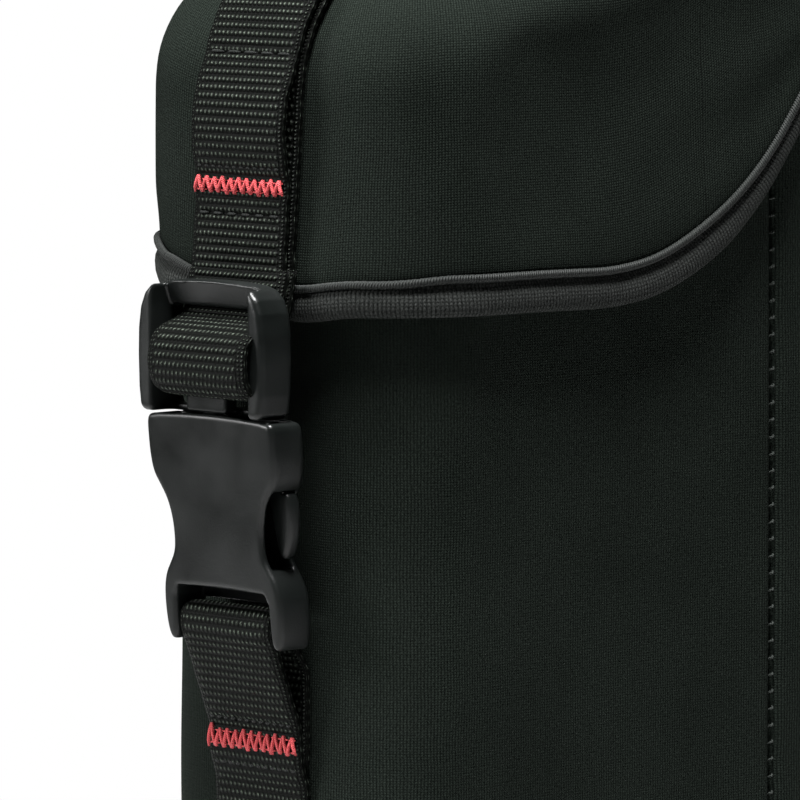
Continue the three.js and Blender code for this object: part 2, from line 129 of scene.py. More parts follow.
class Nodes:
    """Nodes of one tree, written as sums."""

    def __init__(self, tree):
        self.tree = tree

    def add(self, kind, **settings):
        node = self.tree.nodes.new(kind)
        for key, value in settings.items():
            setattr(node, key, value)
        return node

    def feed(self, socket, value):
        if isinstance(value, bpy.types.NodeSocket):
            self.tree.links.new(value, socket)
        else:
            socket.default_value = value

    def sum(self, operation, *values):
        node = self.add("ShaderNodeMath", operation=operation)
        for socket, value in zip(node.inputs, values):
            self.feed(socket, value)
        return node.outputs[0]

    def times(self, *values):
        total = values[0]
        for value in values[1:]:
            total = self.sum("MULTIPLY", total, value)
        return total

    def plus(self, a, b):
        return self.sum("ADD", a, b)

    def less(self, a, b):
        return self.sum("SUBTRACT", a, b)

    def wave(self, turns):
        """1 on whole turns, 0 half-way between."""
        swing = self.sum("COSINE", self.times(turns, 2 * math.pi))
        return self.plus(self.times(swing, 0.5), 0.5)

    def range(self, value, low, high, to_low=0.0, to_high=1.0):
        node = self.add("ShaderNodeMapRange", clamp=True)
        for socket, item in zip(node.inputs, (value, low, high, to_low, to_high)):
            self.feed(socket, item)
        return node.outputs[0]

    def blend(self, share, a, b):
        node = self.add("ShaderNodeMix", data_type="RGBA")
        self.feed(node.inputs[0], share)
        self.feed(node.inputs[6], a)
        self.feed(node.inputs[7], b)
        return node.outputs[2]

    def grain(self, vector, scale, detail=2.0, rough=0.5):
        node = self.add("ShaderNodeTexNoise", noise_dimensions="3D")
        self.feed(node.inputs["Vector"], vector)
        node.inputs["Scale"].default_value = scale
        node.inputs["Detail"].default_value = detail
        node.inputs["Roughness"].default_value = rough
        return node.outputs["Fac"]

    def parts(self, vector):
        node = self.add("ShaderNodeSeparateXYZ")
        self.feed(node.inputs[0], vector)
        return node.outputs[0], node.outputs[1], node.outputs[2]

    def cloth_place(self):
        """Where a point lies on its cloth, in millimetres: across, along."""
        return self.add("ShaderNodeUVMap", uv_map="cloth").outputs[0]


def group(name, inputs, outputs):
    """A new node group and the sockets inside it: inputs are (name, socket type, default)."""
    tree = bpy.data.node_groups.new(name, "ShaderNodeTree")
    for label, kind, default in inputs:
        socket = tree.interface.new_socket(label, in_out="INPUT", socket_type=kind)
        if default is not None:
            socket.default_value = default
    for label in outputs:
        tree.interface.new_socket(label, in_out="OUTPUT", socket_type="NodeSocketFloat")
    n = Nodes(tree)
    given = n.add("NodeGroupInput").outputs
    wanted = n.add("NodeGroupOutput").inputs
    return n, given, wanted


def knit_group():
    """Rows of small V-shaped loops in upright wales, with loose lint over them."""
    n, given, wanted = group(
        "knit",
        [("Place", "NodeSocketVector", None), ("Wale", "NodeSocketFloat", 0.62),
         ("Course", "NodeSocketFloat", 0.5)],
        ["Height", "Shade"],
    )
    across, along, _ = n.parts(given["Place"])
    drift = n.less(n.grain(given["Place"], 0.09), 0.5)
    wale = n.sum("FRACT", n.plus(n.sum("DIVIDE", across, given["Wale"]), n.times(drift, 1.2)))
    edge = n.times(n.sum("ABSOLUTE", n.less(wale, 0.5)), 2.0)
    loops = n.wave(n.plus(n.sum("DIVIDE", along, given["Course"]), n.times(edge, 0.5)))
    ridge = n.less(1.0, n.times(edge, edge))
    height = n.times(ridge, n.plus(0.6, n.times(loops, 0.4)))
    n.feed(wanted["Height"], height)
    lint = n.range(n.grain(given["Place"], 2.3, 3.0, 0.65), 0.36, 0.72)
    # Shade sets the colour: painted shade, darker in the low grooves between the wales and loops, mixed with
    # random lint.
    n.feed(wanted["Shade"], n.plus(n.times(height, 0.42), n.times(lint, 0.58)))
    return n.tree


def weave_group():
    """Webbing: rows of short floats, each row set half a float from the last, between chained edges."""
    n, given, wanted = group(
        "webbing_weave",
        [("Place", "NodeSocketVector", None), ("Row", "NodeSocketFloat", WEAVE_ROW),
         ("Column", "NodeSocketFloat", WEAVE_COLUMN)],
        ["Height", "Shade"],
    )
    across, along, _ = n.parts(given["Place"])
    row = n.plus(n.sum("DIVIDE", along, given["Row"]), 0.5)
    stagger = n.times(n.sum("PINGPONG", n.sum("FLOOR", row), 1.0), 0.5)
    lean = n.times(n.sum("FRACT", row), 0.3)
    float_place = n.plus(n.plus(n.sum("DIVIDE", across, given["Column"]), stagger), lean)
    crest = n.sum("POWER", n.wave(n.plus(row, 0.5)), 0.9)
    field = n.times(crest, n.plus(0.3, n.times(n.wave(float_place), 0.7)))
    side = n.range(n.sum("ABSOLUTE", across), 11.0, 11.5)
    chain = n.times(n.wave(n.sum("DIVIDE", along, n.times(given["Row"], 0.5))),
                    n.wave(n.sum("DIVIDE", n.sum("ABSOLUTE", across), 0.85)))
    height = n.plus(n.times(field, n.less(1.0, side)), n.times(chain, side, 0.9))
    n.feed(wanted["Height"], height)
    lint = n.range(n.grain(given["Place"], 3.0, 2.0, 0.6), 0.35, 0.7)
    # Shade sets the colour: painted shade, dark in the gaps between rows and floats, and painted highlight on
    # their tops, with random lint.
    n.feed(wanted["Shade"], n.times(height, n.plus(0.55, n.times(lint, 0.7))))
    return n.tree


def patches_group():
    """Broad uneven patches, as of handling and dust."""
    n, given, wanted = group(
        "patches", [("Place", "NodeSocketVector", None), ("Size", "NodeSocketFloat", 20.0)], ["Mask"])
    node = n.add("ShaderNodeTexNoise")
    n.feed(node.inputs["Vector"], given["Place"])
    n.feed(node.inputs["Scale"], n.sum("DIVIDE", 1.0, given["Size"]))
    node.inputs["Detail"].default_value = 4.0
    n.feed(wanted["Mask"], n.range(node.outputs["Fac"], 0.3, 0.7))
    return n.tree


def twist_group():
    """Twisted yarn: slanting strands round a thread or a covered cord."""
    n, given, wanted = group(
        "twist",
        [("Place", "NodeSocketVector", None), ("Pitch", "NodeSocketFloat", 1.0),
         ("Lean", "NodeSocketFloat", 0.5)],
        ["Height"],
    )
    across, along, _ = n.parts(given["Place"])
    turns = n.plus(n.sum("DIVIDE", along, given["Pitch"]), n.times(across, given["Lean"]))
    n.feed(wanted["Height"], n.wave(turns))
    return n.tree


KNIT, WEAVE, PATCHES, TWIST = knit_group(), weave_group(), patches_group(), twist_group()


def use(n, tree, **values):
    node = n.add("ShaderNodeGroup", node_tree=tree)
    for label, value in values.items():
        n.feed(node.inputs[label], value)
    return node.outputs


def surface(name, roughness, sheen, specular):
    material = bpy.data.materials.new(name)
    material.use_nodes = True
    n = Nodes(material.node_tree)
    shader = material.node_tree.nodes["Principled BSDF"]
    shader.inputs["Roughness"].default_value = roughness
    shader.inputs["Specular IOR Level"].default_value = specular
    shader.inputs["Sheen Weight"].default_value = sheen
    shader.inputs["Sheen Roughness"].default_value = 0.45
    return material, n, shader


def relief(n, shader, height, distance):
    bump = n.add("ShaderNodeBump")
    bump.inputs["Strength"].default_value = 1.0
    bump.inputs["Distance"].default_value = distance
    n.feed(bump.inputs["Height"], height)
    n.tree.links.new(bump.outputs["Normal"], shader.inputs["Normal"])


def knit_material(name, dark, light, wale=0.62, course=0.5, depth=0.00022, sheen=0.0):
    material, n, shader = surface(name, 0.9, sheen, 0.03)
    place = n.cloth_place()
    knit = use(n, KNIT, Place=place, Wale=wale, Course=course)
    patches = use(n, PATCHES, Place=place, Size=26.0)["Mask"]
    shade = n.times(knit["Shade"], n.plus(0.82, n.times(patches, 0.36)))
    n.feed(shader.inputs["Base Color"], n.blend(shade, dark, light))
    relief(n, shader, knit["Height"], depth)
    return material


def webbing_material(name, dark, light):
    material, n, shader = surface(name, 0.6, 0.0, 0.05)
    place = n.cloth_place()
    weave = use(n, WEAVE, Place=place, Row=WEAVE_ROW, Column=WEAVE_COLUMN)
    patches = use(n, PATCHES, Place=place, Size=9.0)["Mask"]
    # The high power makes the gaps near black and leaves narrow bright points on the floats: painted shade
    # and painted highlight.
    shade = n.times(n.sum("POWER", weave["Shade"], 3.4), n.plus(0.9, n.times(patches, 0.5)))
    n.feed(shader.inputs["Base Color"], n.blend(shade, dark, light))
    relief(n, shader, weave["Height"], 0.0005)
    return material


def yarn_material(name, dark, light, pitch, lean, roughness=0.6):
    material, n, shader = surface(name, roughness, 0.0, 0.2)
    place = n.cloth_place()
    strands = use(n, TWIST, Place=place, Pitch=pitch, Lean=lean)["Height"]
    lint = n.range(n.grain(place, 2.6, 2.0), 0.35, 0.7)
    # The colour follows the strands: painted shade in the grooves between them, mixed with random lint.
    shade = n.plus(n.times(strands, 0.6), n.times(lint, 0.4))
    n.feed(shader.inputs["Base Color"], n.blend(shade, dark, light))
    relief(n, shader, strands, 0.00015)
    return material


def plastic_material(name, dark, light):
    material, n, shader = surface(name, 0.42, 0.0, 0.24)
    place = n.add("ShaderNodeTexCoord").outputs["Object"]
    pebble = n.grain(place, 2600.0, 2.0, 0.6)
    cloud = n.grain(place, 90.0, 3.0)
    n.feed(shader.inputs["Base Color"], n.blend(n.range(cloud, 0.3, 0.7), dark, light))
    n.feed(shader.inputs["Roughness"], n.range(cloud, 0.3, 0.7, 0.3, 0.42))
    relief(n, shader, pebble, 0.00003)
    return material


CASE_KNIT = knit_material("case_knit", (0.0011, 0.0018, 0.0013, 1), (0.0170, 0.0222, 0.0182, 1))
# The hem knit's light colour lies far above the case knit's: a painted highlight for the rolled hem as it
# catches the overhead light. The mouth binding and hinge band use the same material.
HEM_KNIT = knit_material("hem_knit", (0.001, 0.0014, 0.0012, 1), (0.046, 0.049, 0.0465, 1),
                         wale=0.8, course=0.7)
BRUSHED_LINING = knit_material("brushed_lining", (0.016, 0.017, 0.018, 1), (0.05, 0.052, 0.055, 1),
                               wale=0.9, course=0.9, depth=0.00012, sheen=0.3)
BLACK_WEBBING = webbing_material("black_webbing", (0.0005, 0.0008, 0.0005, 1), (0.075, 0.09, 0.072, 1))
PIPING_YARN = yarn_material("piping_yarn", (0.0016, 0.002, 0.0018, 1), (0.019, 0.022, 0.02, 1),
                            pitch=0.55, lean=0.6)
BLACK_THREAD = yarn_material("black_thread", (0.003, 0.0035, 0.0032, 1), (0.024, 0.027, 0.025, 1),
                             pitch=0.35, lean=1.5)
SEAM_THREAD = yarn_material("seam_thread", (0.01, 0.012, 0.011, 1), (0.07, 0.08, 0.072, 1),
                            pitch=0.35, lean=1.5)
RED_THREAD = yarn_material("red_thread", (0.32, 0.014, 0.02, 1), (0.75, 0.13, 0.135, 1),
                           pitch=0.4, lean=1.2, roughness=0.5)
BUCKLE_PLASTIC = plastic_material("buckle_plastic", (0.003, 0.0038, 0.0035, 1),
                                  (0.0052, 0.0063, 0.006, 1))

# ---------------------------------------------------------------- mesh tools


def ease(t):
    t = min(max(t, 0.0), 1.0)
    return t * t * (3 - 2 * t)


def between(value, stops):
    """The height of a smooth line through (place, height) stops."""
    if value <= stops[0][0]:
        return stops[0][1]
    for (a, low), (b, high) in zip(stops, stops[1:]):
        if value <= b:
            return low + (high - low) * ease((value - a) / (b - a))
    return stops[-1][1]


def run_lengths(points):
    total, lengths = 0.0, [0.0]
    for a, b in zip(points, points[1:]):
        total += (b - a).length
        lengths.append(total)
    return lengths


class Work:
    """Corners in millimetres, and faces whose corners also have a place on the cloth."""

    def __init__(self):
        self.corners, self.faces = [], []

    def grid(self, rows, places, looped, flip=False):
        """rows[r][c] are corners; places[r][c] their places on the cloth, one column more when looped."""
        start, columns = len(self.corners), len(rows[0])
        for row in rows:
            self.corners.extend(row)
        for r in range(len(rows) - 1):
            for c in range(columns if looped else columns - 1):
                ring = [(r, c), (r, c + 1), (r + 1, c + 1), (r + 1, c)]
                if flip:
                    ring.reverse()
                self.faces.append([(start + i * columns + j % columns, places[i][j]) for i, j in ring])
        return [[start + r * columns + c for c in range(columns)] for r in range(len(rows))]

    def strip(self, one, other, looped=False):
        """A strip of faces between two lines of corners."""
        count = len(one)
        for k in range(count if looped else count - 1):
            m = (k + 1) % count
            quad = (one[k], one[m], other[m], other[k])
            self.faces.append([(i, (float(k), float(n // 2))) for n, i in enumerate(quad)])

    def cap(self, ring, flip=False):
        centre = sum((self.corners[i] for i in ring), Vector()) / len(ring)
        middle = len(self.corners)
        self.corners.append(centre)
        for k, i in enumerate(ring):
            j = ring[(k + 1) % len(ring)]
            trio = (middle, j, i) if flip else (middle, i, j)
            self.faces.append([(n, (self.corners[n].x, self.corners[n].y)) for n in trio])

    def tube(self, points, radius, sides, start_normal=None, shape=None):
        """A round thread or cord along points, with closed, narrower ends. shape(distance, angle) scales its
        radius."""
        lengths = run_lengths(points)
        normal = start_normal or Vector((0.3, 0.5, 0.8))
        rings, places = [], []
        for k, p in enumerate(points):
            ahead, behind = points[min(k + 1, len(points) - 1)], points[max(k - 1, 0)]
            way = (ahead - behind).normalized()
            normal = (normal - way * normal.dot(way)).normalized()
            other = way.cross(normal)
            ring = []
            for s in range(sides):
                angle = 2 * math.pi * s / sides
                size = radius * (shape(lengths[k], angle) if shape else 1.0)
                if k in (0, len(points) - 1):
                    size *= 0.55
                ring.append(p + (normal * math.cos(angle) + other * math.sin(angle)) * size)
            rings.append(ring)
            places.append([(2 * math.pi * radius * s / sides, lengths[k]) for s in range(sides + 1)])
        index = self.grid(rings, places, looped=True)
        self.cap(index[0], flip=True)
        self.cap(index[-1])

    def shell(self, outer, inner, places):
        """A closed shell between two matching open grids."""
        a = self.grid(outer, places, False)
        b = self.grid(inner, places, False, flip=True)
        self.strip(b[0], a[0])
        self.strip(a[-1], b[-1])
        self.strip([row[0] for row in a], [row[0] for row in b])
        self.strip([row[-1] for row in b], [row[-1] for row in a])

    def piece(self, name, material, body, slot, replaced=(), levels=0):
        mesh = bpy.data.meshes.new(name)
        mesh.from_pydata([tuple(c * MM) for c in self.corners], [], [[i for i, _ in f] for f in self.faces])
        layer = mesh.uv_layers.new(name="cloth")
        places = [value for f in self.faces for _, place in f for value in place]
        layer.data.foreach_set("uv", places)
        mesh.validate()
        shape = bmesh.new()
        shape.from_mesh(mesh)
        bmesh.ops.remove_doubles(shape, verts=shape.verts, dist=1e-7)
        bmesh.ops.recalc_face_normals(shape, faces=shape.faces)
        shape.to_mesh(mesh)
        shape.free()
        thing = bpy.data.objects.new(name, mesh)
        bpy.context.collection.objects.link(thing)
        if levels:
            finer = thing.modifiers.new("finer", "SUBSURF")
            finer.levels = finer.render_levels = levels
            finer.uv_smooth = "NONE"
            apply_modifiers(thing)
        return finish_piece(thing, material, body, replaced)


def apply_modifiers(thing):
    depsgraph = bpy.context.evaluated_depsgraph_get()
    depsgraph.update()
    made = bpy.data.meshes.new_from_object(thing.evaluated_get(depsgraph))
    thing.modifiers.clear()
    old, thing.data = thing.data, made
    name = old.name
    bpy.data.meshes.remove(old)
    made.name = name


def finish_piece(thing, material, body, replaced):
    thing.data.materials.clear()
    thing.data.materials.append(material)
    thing.data.polygons.foreach_set("use_smooth", [True] * len(thing.data.polygons))
    if replaced:
        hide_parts(*replaced)
    if body:
        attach(thing, body)
    return thing


def padding_push(rows, held, pressure, cap, looped=False):
    """Sewn cloth under the push of its padding: a cloth simulation of one grid, held where held says."""
    columns = len(rows[0])
    mesh = bpy.data.meshes.new("push")
    faces = []
    for r in range(len(rows) - 1):
        for c in range(columns if looped else columns - 1):
            d = (c + 1) % columns
            faces.append((r * columns + c, r * columns + d, (r + 1) * columns + d, (r + 1) * columns + c))
    mesh.from_pydata([tuple(p * MM) for row in rows for p in row], [], faces)
    thing = bpy.data.objects.new("push", mesh)
    bpy.context.collection.objects.link(thing)
    pins = thing.vertex_groups.new(name="stitched")
    for r in range(len(rows)):
        for c in range(columns):
            pins.add([r * columns + c], held(r, c), "REPLACE")
    cloth = thing.modifiers.new("padding", "CLOTH")
    settings = cloth.settings
    settings.quality, settings.mass = 6, 0.25
    settings.tension_stiffness = settings.compression_stiffness = 25
    settings.shear_stiffness, settings.bending_stiffness = 12, 1.5
    settings.vertex_group_mass = "stitched"
    settings.use_pressure, settings.uniform_pressure_force = True, pressure
    settings.effector_weights.gravity = 0
    cloth.collision_settings.use_collision = False
    scene = bpy.context.scene
    for step in range(1, 21):
        scene.frame_set(step)
    depsgraph = bpy.context.evaluated_depsgraph_get()
    moved = thing.evaluated_get(depsgraph).data
    result, k = [], 0
    for row in rows:
        line = []
        for p in row:
            shift = moved.vertices[k].co / MM - p
            if shift.length > cap:
                shift *= cap / shift.length
            line.append(p + shift)
            k += 1
        result.append(line)
    bpy.data.objects.remove(thing)
    bpy.data.meshes.remove(mesh)
    scene.frame_set(1)
    return result


# ---------------------------------------------------------------- the case's outlines

BODY = {"half": 37.0, "front": -76.0, "back": 76.0, "radius": 23.0}
LID = {"half": 41.0, "front": -80.0, "back": 76.6, "radius": 25.0}
SEAM_Y = 21.0
FLOOR = 7.8


def wrap(plan, inset, stop, at_back, counts, side_places=None):
    """Half of a rounded footprint, from one large face round the front or the back to the other: x, y and
    outward direction. side_places are shares along the side, from the stop to the corner."""
    way = 1.0 if at_back else -1.0
    half = plan["half"] - inset
    end = (plan["back"] if at_back else plan["front"]) - way * inset
    radius = max(min(plan["radius"] - 0.55 * inset, half - 0.4), 0.6)
    corner = end - way * radius
    side, turn, across = counts
    shares = side_places or [k / side for k in range(side)]
    near = [(half, stop + (corner - stop) * t, 1.0, 0.0) for t in shares]
    for k in range(turn + 1):
        a = math.pi / 2 * k / turn
        near.append((half - radius + radius * math.cos(a), corner + way * radius * math.sin(a),
                     math.cos(a), way * math.sin(a)))
    flat = [((half - radius) * (1 - 2 * k / across), end, 0.0, way) for k in range(1, across)]
    far = [(-x, y, -nx, ny) for x, y, nx, ny in reversed(near)]
    return near + flat + far


def around(plan, inset, stop, counts):
    front = wrap(plan, inset, stop, False, counts)
    back = wrap(plan, inset, stop, True, counts)[::-1]
    return front + back[1:-1]


def plan_lengths(places, looped=False):
    points = [Vector((x, y, 0)) for x, y, _, _ in places]
    if looped:
        points.append(points[0])
    return run_lengths(points)


def rim_z(y):
    return 213.0 + 22.3 * ease((y - 12.0) / 43.0)


def hem_curve(y):
    """Height and slope of the lid's lower edge."""
    start, radius, straight, end, top = -32.0, 72.0, 24.0, 62.0, 240.6
    if y <= start:
        return 176.3, 0.0
    if y <= straight:
        drop = math.sqrt(radius**2 - (y - start) ** 2)
        return 176.3 + radius - drop, (y - start) / drop
    if y >= end:
        return top, 0.0
    low, slope = hem_curve(straight)
    span = end - straight
    t = (y - straight) / span
    lead = slope * span
    height = low + lead * (t - 2 * t**2 + t**3) + (top - low) * (3 * t**2 - 2 * t**3)
    return height, (lead * (1 - 4 * t + 3 * t**2) + (top - low) * (6 * t - 6 * t**2)) / span


def skew(x, y):
    """The lid sits a little crooked: its edge is lowest right of the strap, highest at the left corner."""
    front = between(x, [(-41, 4.6), (-34, 4.6), (-24, 2.3), (-13, 1.45), (0, 0.15), (13, -0.55), (28, 0.85),
                        (41, 1.0)])
    sag = 0.85 * ease((x + 34) / 20) * (1 - ease((y + 16) / 20))
    return front * (1 - ease((y + 50) / 60)) - sag


def edge_z(x, y, above=0.0):
    z, slope = hem_curve(y)
    fade = 1 - ease((y - 48) / 12)
    return z + skew(x, y) + above * fade * math.hypot(1, slope)


def shoulder_z(y):
    share = min(max((70 - y) / 146, 0), 1) ** 1.15
    return 245 - 28 * share


def crown_z(y):
    return 262 - 19 * min(max((60 - y) / 114, 0), 1) ** 2


def lid_lean(z):
    """The front of the lid leans back as it rises."""
    return 0.075 * min(max(z - 178, 0), 60)


def lid_front_y(z):
    return LID["front"] + lid_lean(z)


def lumps(p, size, amount):
    return amount * noise.noise(Vector((p[0], p[1], p[2])) / size)


# ---------------------------------------------------------------- body of the case

SIDE_SHARES = [0, 0.006, 0.012, 0.02, 0.032, 0.05, 0.08, 0.12, 0.17, 0.23, 0.29, 0.35, 0.41, 0.47, 0.53, 0.59,
               0.65, 0.71, 0.77, 0.83, 0.89, 0.95]


WALL_FOOT = 1.2  # where the walls start above the floor
WALL_INSET = 3.2  # how far in their inner faces lie


def belly(z):
    """How far the padded walls swell out at a height."""
    return 0.5 * math.sin(math.pi * min(z / 225, 1)) ** 0.6


def body_wall(name, at_back, replaced):
    """One half of the outer wrap: padded cloth whose edges are turned in at the side seams."""
    stop = SEAM_Y + (0.18 if at_back else -0.18)
    counts = (22, 9, 7)
    places = wrap(BODY, 0, stop, at_back, counts, SIDE_SHARES)
    inner_places = wrap(BODY, WALL_INSET, stop, at_back, counts, SIDE_SHARES)
    run = plan_lengths(places)
    heights = [0.0, 0.004, 0.01, 0.02] + [k / 46 for k in range(2, 47)]
    outer, inner, cloth = [], [], []
    for h in heights:
        row, back_row, marks = [], [], []
        for k, (x, y, nx, ny) in enumerate(places):
            z = WALL_FOOT + (rim_z(y) - WALL_FOOT) * h
            near_seam = 1 - ease(abs(y - SEAM_Y) / 2.6)
            near_base = 1 - ease((z - WALL_FOOT) / 4.5)
            out = belly(z) - 1.7 * near_seam - 1.6 * near_base**2
            out += lumps((x, y, z), 34, 0.5) * (1 - near_seam)
            row.append(Vector((x + nx * out, y + ny * out, z)))
            ix, iy = inner_places[k][:2]
            back_row.append(Vector((ix, iy, z)))
            marks.append((run[k], z))
        outer.append(row)
        inner.append(back_row)
        cloth.append(marks)

    def held(r, c):
        x, y, _, _ = places[c]
        strap = 0.7 if abs(x) < 13 and y < 0 and heights[r] < 0.48 else 0.0
        seam = 1 - ease((abs(y - SEAM_Y) - 1.0) / 3.0)
        ends = 1.0 if r < 3 or r > len(heights) - 3 else 0.0
        return max(strap, seam, ends, 0.02)

    outer = padding_push(outer, held, 2.2 if at_back else 1.8, 1.6)
    work = Work()
    work.shell(outer, inner, cloth)
    wall = work.piece(name, CASE_KNIT, "case", "case_fabric", replaced, levels=1)
    return wall


SEAM_STITCH_PITCH = 3.25


def seam_stitches():
    """Thread that crosses the turned-in edges of both side seams."""
    work = Work()
    for side in (1, -1):
        z = 6.0
        while z < rim_z(SEAM_Y) - 3:
            x = side * (36.0 + belly(z))
            a = Vector((x - side * 0.6, SEAM_Y - 0.5, z - 0.3))
            b = Vector((x + side * 0.15, SEAM_Y + 0.1, z))
            c = Vector((x - side * 0.5, SEAM_Y + 0.6, z + 0.3))
            work.tube([a, (a + b) / 2, b, (b + c) / 2, c], 0.22, 6)
            z += SEAM_STITCH_PITCH
    return work.piece("side_seam_stitches", SEAM_THREAD, "case", "thread")


def base():
    """The bottom panel, with its edge rolled up to meet the walls, over a stiff board."""
    work = Work()
    counts = (12, 8, 6)
    levels = [(0.9, 0.0), (0.25, 0.35), (0.05, 1.0), (0.35, 1.9), (1.4, 2.4), (3.0, 2.4)]
    rows, marks = [], []
    for inset, z in levels:
        places = around(BODY, inset, 0, counts)
        rows.append([Vector((x, y, z)) for x, y, _, _ in places])
        run = plan_lengths(places, looped=True)
        marks.append([(s, z * 1.2) for s in run])
    under = []
    for inset in (30, 20, 12, 6, 3, 1.6):
        places = around(BODY, inset, 0, counts)
        under.append([Vector((x, y, 0.0)) for x, y, _, _ in places])
    rows = under + rows
    marks = [[(p.x, p.y) for p in ring] + [(ring[0].x, ring[0].y)] for ring in under] + marks
    index = work.grid(rows, marks, looped=True)
    work.cap(index[0], flip=True)
    work.cap(index[-1])
    return work.piece("base", CASE_KNIT, "case", "case_fabric", ("base_panel", "base_board", "base_foam"))


def body_lining():
    work = Work()
    counts = (12, 8, 5)
    walls = around(BODY, 5.0, 0, counts)
    run = plan_lengths(walls, looped=True)
    rows, marks = [], []
    for inset in (30, 20, 12, 8):
        places = around(BODY, inset, 0, counts)
        rows.append([Vector((x, y, FLOOR)) for x, y, _, _ in places])
        marks.append([(x, y) for x, y, _, _ in places] + [places[0][:2]])
    for k in range(0, 31):
        t = k / 30
        places = around(BODY, 5.6 + 1.2 * (1 - ease(t * 12)), 0, counts)
        row, mark = [], []
        for c, (x, y, nx, ny) in enumerate(places):
            z = FLOOR + 0.4 + (rim_z(y) - FLOOR - 0.4) * t
            out = lumps((x, y, z), 26, 0.35) - 0.5 * math.sin(math.pi * t)
            row.append(Vector((x + nx * out, y + ny * out, z)))
            mark.append((run[c], z))
        mark.append((run[-1], FLOOR + 200 * t))
        rows.append(row)
        marks.append(mark)
    index = work.grid(rows, marks, looped=True, flip=True)
    work.cap(index[0])
    edge = [Vector((x, y, rim_z(y))) for x, y, _, _ in around(BODY, 4.9, 0, counts)]
    work.grid([rows[-1], edge], [[(s, 0) for s in run], [(s, 1) for s in run]], looped=True, flip=True)
    return work.piece("body_lining_cup", BRUSHED_LINING, "case", "lining", ("body_lining",), levels=1)


def mouth_binding():
    """Tape folded over the mouth's rim, with a line of stitches."""
    work = Work()
    counts = (20, 9, 7)
    middle = around(BODY, 2.9, SEAM_Y, counts)
    run = plan_lengths(middle, looped=True)
    section = [(3.5, -3.2), (3.65, -1.5), (3.6, 1.2), (2.9, 2.9), (1.4, 3.6), (-1.4, 3.6), (-2.9, 2.9),
               (-3.5, 1.2), (-3.55, -1.5), (-3.4, -3.2)]
    rows = []
    for out, up in section:
        rows.append([Vector((x + nx * out, y + ny * out, rim_z(y) + up)) for x, y, nx, ny in middle])
    marks = [[(s, 1.5 * k) for s in run] for k in range(len(section))]
    work.grid(rows, marks, looped=True, flip=True)
    binding = work.piece("mouth_binding_tape", HEM_KNIT, "case", "trim", ("mouth_binding",), levels=1)
    stitches = Work()
    s = 0.0
    while s < run[-1] - 2:
        p, q = (on_loop(middle, run, s + ahead, 3.7, -1.6) for ahead in (0, 1.9))
        stitches.tube([p, (p + q) / 2, q], 0.24, 5)
        s += 3.0
    stitches.piece("mouth_binding_stitches", BLACK_THREAD, "case", "thread")
    return binding


def on_loop(places, run, s, out, up):
    """A point at distance s round a footprint, set outwards and up from the rim."""
    for k in range(len(places)):
        if run[k + 1] >= s:
            x0, y0, a0, b0 = places[k]
            x1, y1, a1, b1 = places[(k + 1) % len(places)]
            t = (s - run[k]) / (run[k + 1] - run[k])
            x, y, nx, ny = x0 + (x1 - x0) * t, y0 + (y1 - y0) * t, a0 + (a1 - a0) * t, b0 + (b1 - b0) * t
            return Vector((x + nx * out, y + ny * out, rim_z(y) + up))
    raise ValueError("past the end of the loop")


body_wall("front_wrap", False, ("front_panel", "front_foam"))
body_wall("back_wrap", True, ("back_panel", "back_foam"))
seam_stitches()
base()
body_lining()
mouth_binding()

# ---------------------------------------------------------------- lid

LID_COUNTS = (16, 10, 9)
LID_MIDDLE = (LID["front"] + LID["back"]) / 2
SKIRT_ROWS = 12
SHOULDER_STEPS = [8, 16, 25, 34, 43, 52, 61, 70, 79, 90]  # degrees up the rounded shoulder


def lid_level(inset, height, depth, drop=0.0, depth_out=None):
    """A ring of the lid, a depth in from its outside: height(x, y) gives its height, and drop is the share of
    the depth that it sinks by. depth_out takes the place of the depth across the plan."""
    own = around(LID, 0, LID_MIDDLE, LID_COUNTS)
    shift = depth if depth_out is None else depth_out
    ring = []
    for k, (x, y, _, _) in enumerate(around(LID, inset + shift, LID_MIDDLE, LID_COUNTS)):
        at = own[k][1] if inset == 0 else y
        z = height(x, at) - depth * drop
        forward = max(-own[k][3], 0.0) ** 4
        ring.append(Vector((x, y + lid_lean(z) * forward * (1 if inset < 20 else 0.6), z)))
    return ring


CORD_TOP = 7.6  # height of the cord's top above the lid's lower edge, on the sides


def cord_rise(x, y):
    """Height of the cord above the lid's lower edge: closer to it on the front, except at the left corner."""
    corner = ease((-16 - x) / 8) * ease((-60 - y) / 12)
    return 6.1 + 0.9 * ease((y + 76) / 12) + 0.8 * corner


def lid_rings(depth, edge, edge_curl=()):
    """Rings from the skirt's lower edge up to the crown. edge_curl are (height above, depth) of extra lower
    rings, which follow the cord."""
    def low(x, y, above):
        return edge_z(x, y, above + (cord_rise(x, y) - CORD_TOP if edge_curl else 0))

    rings = [lid_level(0, lambda x, y, a=above: low(x, y, a), depth + curl) for above, curl in edge_curl]
    for k in range(SKIRT_ROWS + 1):
        t = k / SKIRT_ROWS
        rings.append(lid_level(0, lambda x, y, t=t: low(x, y, edge) * (1 - t) + shoulder_z(y) * t, depth))
    for degrees in SHOULDER_STEPS:
        a = math.radians(degrees)
        rings.append(lid_level(26 * (1 - math.cos(a)),
                               lambda x, y, s=math.sin(a): shoulder_z(y) + (crown_z(y) - shoulder_z(y)) * s,
                               depth, math.sin(a)))
    for inset in (29, 32, 35, 37.5, 39):
        rings.append(lid_level(inset, lambda x, y: crown_z(y), depth, 1.0, 0.0))
    return rings


